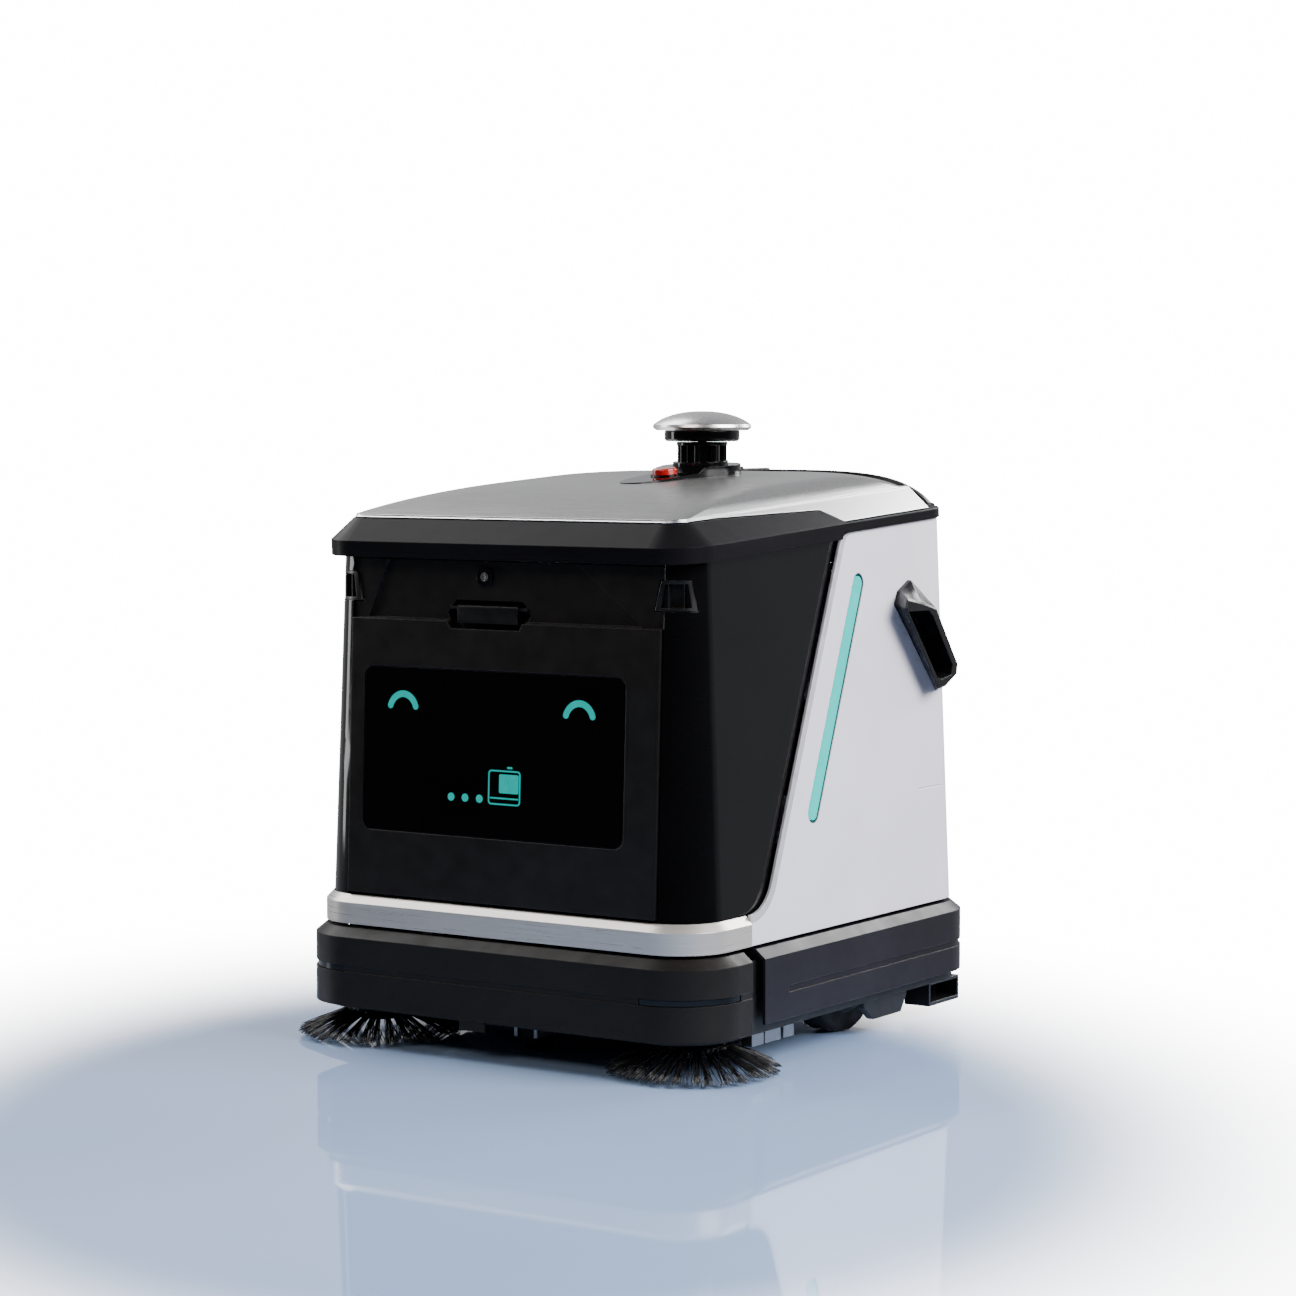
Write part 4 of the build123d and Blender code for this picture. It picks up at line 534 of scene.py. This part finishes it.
def bristle_tufts(centre, reach, seed):
    """Maker of the bristles: tufts that fan out from the hub and droop to the floor."""

    def make(work):
        rng = random.Random(seed)
        steps = range(BRISTLE_STEPS + 1)
        radii = [BRISTLE_RADIUS * (1 - BRISTLE_TAPER * step / BRISTLE_STEPS) for step in steps]
        for tuft in range(TUFTS):
            heading = math.tau * (tuft + rng.uniform(-TUFT_TURN, TUFT_TURN)) / TUFTS
            lift = rng.uniform(0.0, TUFT_LIFT)
            for _ in range(BRISTLES_PER_TUFT):
                angle = heading + rng.gauss(0, ROOT_TURN)
                fan = rng.gauss(0, TIP_TURN)
                end = reach * rng.uniform(SHORTEST, LONGEST)
                root_height = ROOT_HEIGHT + rng.uniform(-ROOT_SCATTER, ROOT_SCATTER)
                tip_height = TIP_HEIGHT + lift + rng.uniform(0, TIP_SCATTER)
                path = []
                for step in steps:
                    part = step / BRISTLE_STEPS
                    distance = BRUSH_ROOT + (end - BRUSH_ROOT) * part
                    turn = angle + fan * part * part
                    height = root_height + (tip_height - root_height) * part ** DROOP
                    place = Vector((math.cos(turn) * distance, math.sin(turn) * distance, height))
                    path.append(centre + place)
                sweep(work, path, radii, 5)

    return make


def tuft_sockets(centre):
    """Maker of the short moulded sleeves that hold the tufts round the hub."""

    def make(work):
        for tuft in range(TUFTS):
            heading = math.tau * tuft / TUFTS
            outward = Vector((math.cos(heading), math.sin(heading), 0))
            path = []
            for distance, height in (SLEEVE_START, SLEEVE_END):
                path.append(centre + outward * distance + Vector((0, 0, height)))
            sweep(work, path, SLEEVE_RADII, 8)

    return make


for side, seed in (("right", 11), ("left", 23)):
    node = f"side_brush_{side}"
    centre = brush_centre(node)
    low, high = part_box(node)
    reach = (high.x - low.x) / 2
    body = f"brush_{side}"
    hub = add_piece(f"brush_hub_{side}", brush_hub(centre, high.z), SATIN_BLACK, body)
    add_piece(f"brush_sleeves_{side}", tuft_sockets(centre), SATIN_BLACK, body)
    add_piece(f"brush_bristles_{side}", bristle_tufts(centre, reach, seed), BRISTLE, body)
    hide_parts(node)


# ---- Roller bristle rows -----------------------------------------------------------------------

ROW_COUNT = 8
ROW_TURN = 0.9
ROW_STEPS = 60
ROW_HALF_LENGTH = 0.195
ROW_RADIUS = 0.0024
ROW_DEPTH = 0.0012
RIPPLE_HEIGHT = 0.0004
RIPPLE_RADIANS = 180


def roller_rows(work):
    """Helical rows of bristle, bars that stand a little out of the roller."""
    low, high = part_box("roller_brush")
    axis_y = (low.y + high.y) / 2
    axis_z = (low.z + high.z) / 2
    radius = (high.z - low.z) / 2
    for row in range(ROW_COUNT):
        path = []
        for step in range(ROW_STEPS + 1):
            part = step / ROW_STEPS
            angle = math.tau * row / ROW_COUNT + ROW_TURN * math.pi * part
            x = -ROW_HALF_LENGTH + 2 * ROW_HALF_LENGTH * part
            ripple = RIPPLE_HEIGHT * math.sin(part * RIPPLE_RADIANS)
            reach = radius - ROW_DEPTH + ripple
            y = axis_y + reach * math.cos(angle)
            z = axis_z + reach * math.sin(angle)
            path.append(Vector((x, y, z)))
        sweep(work, path, [ROW_RADIUS] * len(path), 6)


add_piece("roller_rows", roller_rows, BRISTLE, "roller")


# ---- Rubber cords behind the joint between the side panels and the base ------------------------

SEAL_X = 0.288
SEAL_HEIGHT = 0.160
SEAL_RADIUS = 0.006
SEAL_FRONT = -0.170
SEAL_BACK = 0.0


def panel_seal(side):
    """Round rubber cord along the inside of one side's joint."""
    ends = [Vector((side * SEAL_X, y, SEAL_HEIGHT)) for y in (SEAL_FRONT, SEAL_BACK)]

    def make(work):
        sweep(work, ends, [SEAL_RADIUS] * 2, 12)

    return make


for label, side in (("left", -1), ("right", 1)):
    add_piece(f"panel_seal_{label}", panel_seal(side), RUBBER, "chassis")


# ---- Display graphics --------------------------------------------------------------------------

door_low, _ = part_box("display_glass")
DOOR_DRAFT = math.radians(2.2)
SHAPE_THICKNESS = 0.0004


def face_y(height, lift):
    """Y of the display's leaning face at a height, moved out from it by the lift."""
    return door_low.y + (height - door_low.z) * math.tan(DOOR_DRAFT) - lift


def flat_shape(outline):
    """Maker of a thin raised shape on the display from (x, z) points."""

    def make(work):
        front = [work.verts.new((x, face_y(z, SHAPE_THICKNESS), z)) for x, z in outline]
        back = [work.verts.new((x, face_y(z, 0.0), z)) for x, z in outline]
        work.faces.new(front)
        work.faces.new(back[::-1])
        count = len(outline)
        for index in range(count):
            other = (index + 1) % count
            work.faces.new((front[index], back[index], back[other], front[other]))

    return make


def ring_arc(centre_x, centre_z, radius_x, radius_z, width, start, end, steps=36, cap_steps=8):
    """Outline of a bent bar with round ends, between two angles of an ellipse."""

    def side(shift):
        """Points along the arc, shifted outwards by part of the bar's width."""
        points = []
        for step in range(steps + 1):
            angle = math.radians(start + (end - start) * step / steps)
            x = centre_x + (radius_x + shift) * math.cos(angle)
            z = centre_z + (radius_z + shift) * math.sin(angle)
            points.append((x, z))
        return points

    def cap(angle, first_turn):
        """Points round one end of the bar."""
        middle_x = centre_x + radius_x * math.cos(angle)
        middle_z = centre_z + radius_z * math.sin(angle)
        points = []
        for step in range(1, cap_steps):
            turn = first_turn + math.pi * step / cap_steps
            points.append((middle_x + width / 2 * math.cos(turn), middle_z + width / 2 * math.sin(turn)))
        return points

    last = math.radians(end)
    first = math.radians(start)
    return side(width / 2) + cap(last, last) + side(-width / 2)[::-1] + cap(first, first + math.pi)


def rounded_rectangle(centre_x, centre_z, width, height, corner, steps=6):
    """Outline of a rounded rectangle."""
    outline = []
    for quarter, (sign_x, sign_z) in enumerate(((1, 1), (-1, 1), (-1, -1), (1, -1))):
        corner_x = centre_x + sign_x * (width / 2 - corner)
        corner_z = centre_z + sign_z * (height / 2 - corner)
        for step in range(steps + 1):
            angle = math.radians(90 * quarter + 90 * step / steps)
            outline.append((corner_x + corner * math.cos(angle), corner_z + corner * math.sin(angle)))
    return outline


def frame_shape(outer, inner):
    """Maker of a thin raised frame between two outlines with as many points each."""

    def make(work):
        layers = []
        for outline in (outer, inner):
            front = [work.verts.new((x, face_y(z, SHAPE_THICKNESS), z)) for x, z in outline]
            back = [work.verts.new((x, face_y(z, 0.0), z)) for x, z in outline]
            layers.append((front, back))
        (outer_front, outer_back), (inner_front, inner_back) = layers
        count = len(outer)
        for now in range(count):
            then = (now + 1) % count
            work.faces.new((outer_front[now], outer_front[then], inner_front[then], inner_front[now]))
            work.faces.new((outer_back[then], outer_back[now], inner_back[now], inner_back[then]))
            work.faces.new((outer_front[then], outer_front[now], outer_back[now], outer_back[then]))
            work.faces.new((inner_front[now], inner_front[then], inner_back[then], inner_back[now]))

    return make


def disc(centre_x, centre_z, radius, steps=28):
    """Outline of a disc."""
    turns = [math.tau * step / steps for step in range(steps)]
    return [(centre_x + radius * math.cos(turn), centre_z + radius * math.sin(turn)) for turn in turns]


def add_screen_shape(name, mesh_maker):
    """A lit shape on the display, riding on the door."""
    add_piece(name, mesh_maker, SCREEN_TEAL, "door", smooth=False)


EYE_HEIGHT = 0.437
EYE_RADIUS_X = 0.0215
EYE_RADIUS_Z = 0.0235
EYE_WIDTH = 0.0085
for label, eye_x in (("left", -0.1535), ("right", 0.1215)):
    outline = ring_arc(eye_x, EYE_HEIGHT, EYE_RADIUS_X, EYE_RADIUS_Z, EYE_WIDTH, 20, 160)
    add_screen_shape(f"screen_eye_{label}", flat_shape(outline))

DOT_HEIGHT = 0.333
DOT_RADIUS = 0.0052
for index, dot_x in enumerate((-0.074, -0.052, -0.0295)):
    add_screen_shape(f"screen_dot_{index}", flat_shape(disc(dot_x, DOT_HEIGHT, DOT_RADIUS)))

# Little picture of a machine: a frame, a lit window, a foot and a mast on top.
ICON_X = 0.009
ICON_Z = 0.349
icon_outer = rounded_rectangle(ICON_X, ICON_Z, 0.050, 0.044, 0.005)
icon_inner = rounded_rectangle(ICON_X, ICON_Z, 0.046, 0.040, 0.003)
icon_fill = rounded_rectangle(ICON_X + 0.007, ICON_Z + 0.005, 0.030, 0.024, 0.002)
icon_foot = rounded_rectangle(ICON_X, ICON_Z - 0.0135, 0.044, 0.002, 0.0008)
icon_mast = rounded_rectangle(ICON_X + 0.008, ICON_Z + 0.0255, 0.008, 0.0026, 0.001)
add_screen_shape("screen_icon_frame", frame_shape(icon_outer, icon_inner))
add_screen_shape("screen_icon_fill", flat_shape(icon_fill))
add_screen_shape("screen_icon_foot", flat_shape(icon_foot))
add_screen_shape("screen_icon_mast", flat_shape(icon_mast))


# ---- Floor, light and camera -------------------------------------------------------------------

# The floor is an oval: solid out to FLOOR_SOLID times its reach from its centre, and gone at
# FLOOR_CLEAR times it.
FLOOR_CENTRE = (0.22, -0.62, 0)
FLOOR_REACH = (0.95, 1.3, 1.0)
FLOOR_SOLID = 0.6
FLOOR_CLEAR = 1.35
FLOOR_DROP = 0.0002
FLOOR_SIZE = 30
FLOOR_IOR = 1.75

# Colours of the room from behind the machine (0) round to the camera's side (1).
ROOM_STOPS = [
    (0.0, (0.58, 0.59, 0.61, 1)),
    (0.2, (0.42, 0.43, 0.45, 1)),
    (0.4, (0.3, 0.31, 0.33, 1)),
    (0.5, (0.06, 0.06, 0.065, 1)),
    (0.8, (0.03, 0.03, 0.034, 1)),
    (1.0, (0.02, 0.02, 0.022, 1)),
]
BACKDROP_WHITE = (16, 16, 16, 1)
WARM_WHITE = (1.0, 0.93, 0.85)


def stage_floor():
    """Pale blue glossy floor under the machine that clears away to the white background."""
    work = bmesh.new()
    bmesh.ops.create_grid(work, x_segments=2, y_segments=2, size=FLOOR_SIZE)
    mesh = bpy.data.meshes.new("stage_floor")
    work.to_mesh(mesh)
    work.free()
    floor = bpy.data.objects.new("stage_floor", mesh)
    bpy.context.scene.collection.objects.link(floor)
    floor.location.z = -FLOOR_DROP
    material, tree, shader = new_material("floor_gloss")
    place = tree.nodes.new("ShaderNodeTexCoord")
    squeeze = tree.nodes.new("ShaderNodeMapping")
    squeeze.vector_type = "TEXTURE"
    squeeze.inputs["Location"].default_value = FLOOR_CENTRE
    squeeze.inputs["Rotation"].default_value = (0, 0, math.radians(CAMERA_AZIMUTH))
    squeeze.inputs["Scale"].default_value = FLOOR_REACH
    length = tree.nodes.new("ShaderNodeVectorMath")
    length.operation = "LENGTH"
    tree.links.new(place.outputs["Object"], squeeze.inputs["Vector"])
    tree.links.new(squeeze.outputs["Vector"], length.inputs[0])
    far = tree.nodes.new("ShaderNodeMapRange")
    far.interpolation_type = "SMOOTHSTEP"
    far.inputs["From Min"].default_value = FLOOR_SOLID
    far.inputs["From Max"].default_value = FLOOR_CLEAR
    far.inputs["To Min"].default_value = 1.0
    far.inputs["To Max"].default_value = 0.0
    tree.links.new(length.outputs["Value"], far.inputs["Value"])
    tree.links.new(far.outputs["Result"], shader.inputs["Alpha"])
    cloud = noise(tree, 1.3, 2.0)
    tree.links.new(blend(tree, cloud, "98b2dc", "a4bce2"), shader.inputs["Base Color"])
    tree.links.new(spread(tree, noise(tree, 3.0, 3.0), 0.02, 0.05), shader.inputs["Roughness"])
    shader.inputs["IOR"].default_value = FLOOR_IOR
    mesh.materials.append(material)


def soft_light(name, place, target, width, height, power, colour=(1, 1, 1)):
    """Rectangular studio light that faces a target."""
    data = bpy.data.lights.new(name, "AREA")
    data.shape = "RECTANGLE"
    data.size = width
    data.size_y = height
    data.energy = power
    data.color = colour
    lamp = bpy.data.objects.new(name, data)
    lamp.location = place
    lamp.rotation_euler = (Vector(target) - Vector(place)).to_track_quat("-Z", "Y").to_euler()
    bpy.context.scene.collection.objects.link(lamp)


def studio_world():
    """White to the camera; to everything else a room that is dark round the camera and pale behind."""
    world = bpy.data.worlds.new("studio")
    bpy.context.scene.world = world
    world.use_nodes = True
    tree = world.node_tree
    background = tree.nodes["Background"]
    place = tree.nodes.new("ShaderNodeTexCoord")
    toward = tree.nodes.new("ShaderNodeVectorMath")
    toward.operation = "DOT_PRODUCT"
    angle = math.radians(CAMERA_AZIMUTH)
    toward.inputs[1].default_value = (math.sin(angle), -math.cos(angle), 0)
    tree.links.new(place.outputs["Generated"], toward.inputs[0])
    turn = tree.nodes.new("ShaderNodeMapRange")
    turn.inputs["From Min"].default_value = -1
    turn.inputs["From Max"].default_value = 1
    tree.links.new(toward.outputs["Value"], turn.inputs["Value"])
    room = ramp(tree, turn.outputs["Result"], ROOM_STOPS)
    rays = tree.nodes.new("ShaderNodeLightPath")
    choose = tree.nodes.new("ShaderNodeMix")
    choose.data_type = "RGBA"
    tree.links.new(rays.outputs["Is Camera Ray"], choose.inputs["Factor"])
    tree.links.new(room, choose.inputs["A"])
    choose.inputs["B"].default_value = BACKDROP_WHITE
    tree.links.new(choose.outputs["Result"], background.inputs["Color"])


stage_floor()
studio_world()
# name, place, target, width, height, watts
soft_light("left_high", (-2.6, 0.0, 3.2), (0, 0, 0.5), 3.4, 2.8, 160)
soft_light("back_high", (1.05, 3.4, 2.1), (0, 0, 0.7), 1.7, 1.3, 120)
soft_light("right_high", (3.2, 0.3, 2.4), (0.2, 0.1, 0.35), 2.8, 2.2, 320)
soft_light("left_tall", (-3.0, -1.0, 1.0), (0, -0.1, 0.4), 0.6, 2.0, 24)
soft_light("front_low", (0.2, -3.4, 2.6), (0, 0, 0.35), 2.4, 1.0, 45, WARM_WHITE)

camera_data = bpy.data.cameras.new("photo_camera")
camera_data.lens = CAMERA_LENS
camera_data.sensor_width = CAMERA_SENSOR
camera = bpy.data.objects.new("photo_camera", camera_data)
camera.location = CAMERA_PLACE
camera.rotation_euler = (math.radians(90 - CAMERA_DOWN), 0, math.radians(CAMERA_AZIMUTH))
bpy.context.scene.collection.objects.link(camera)
bpy.context.scene.camera = camera
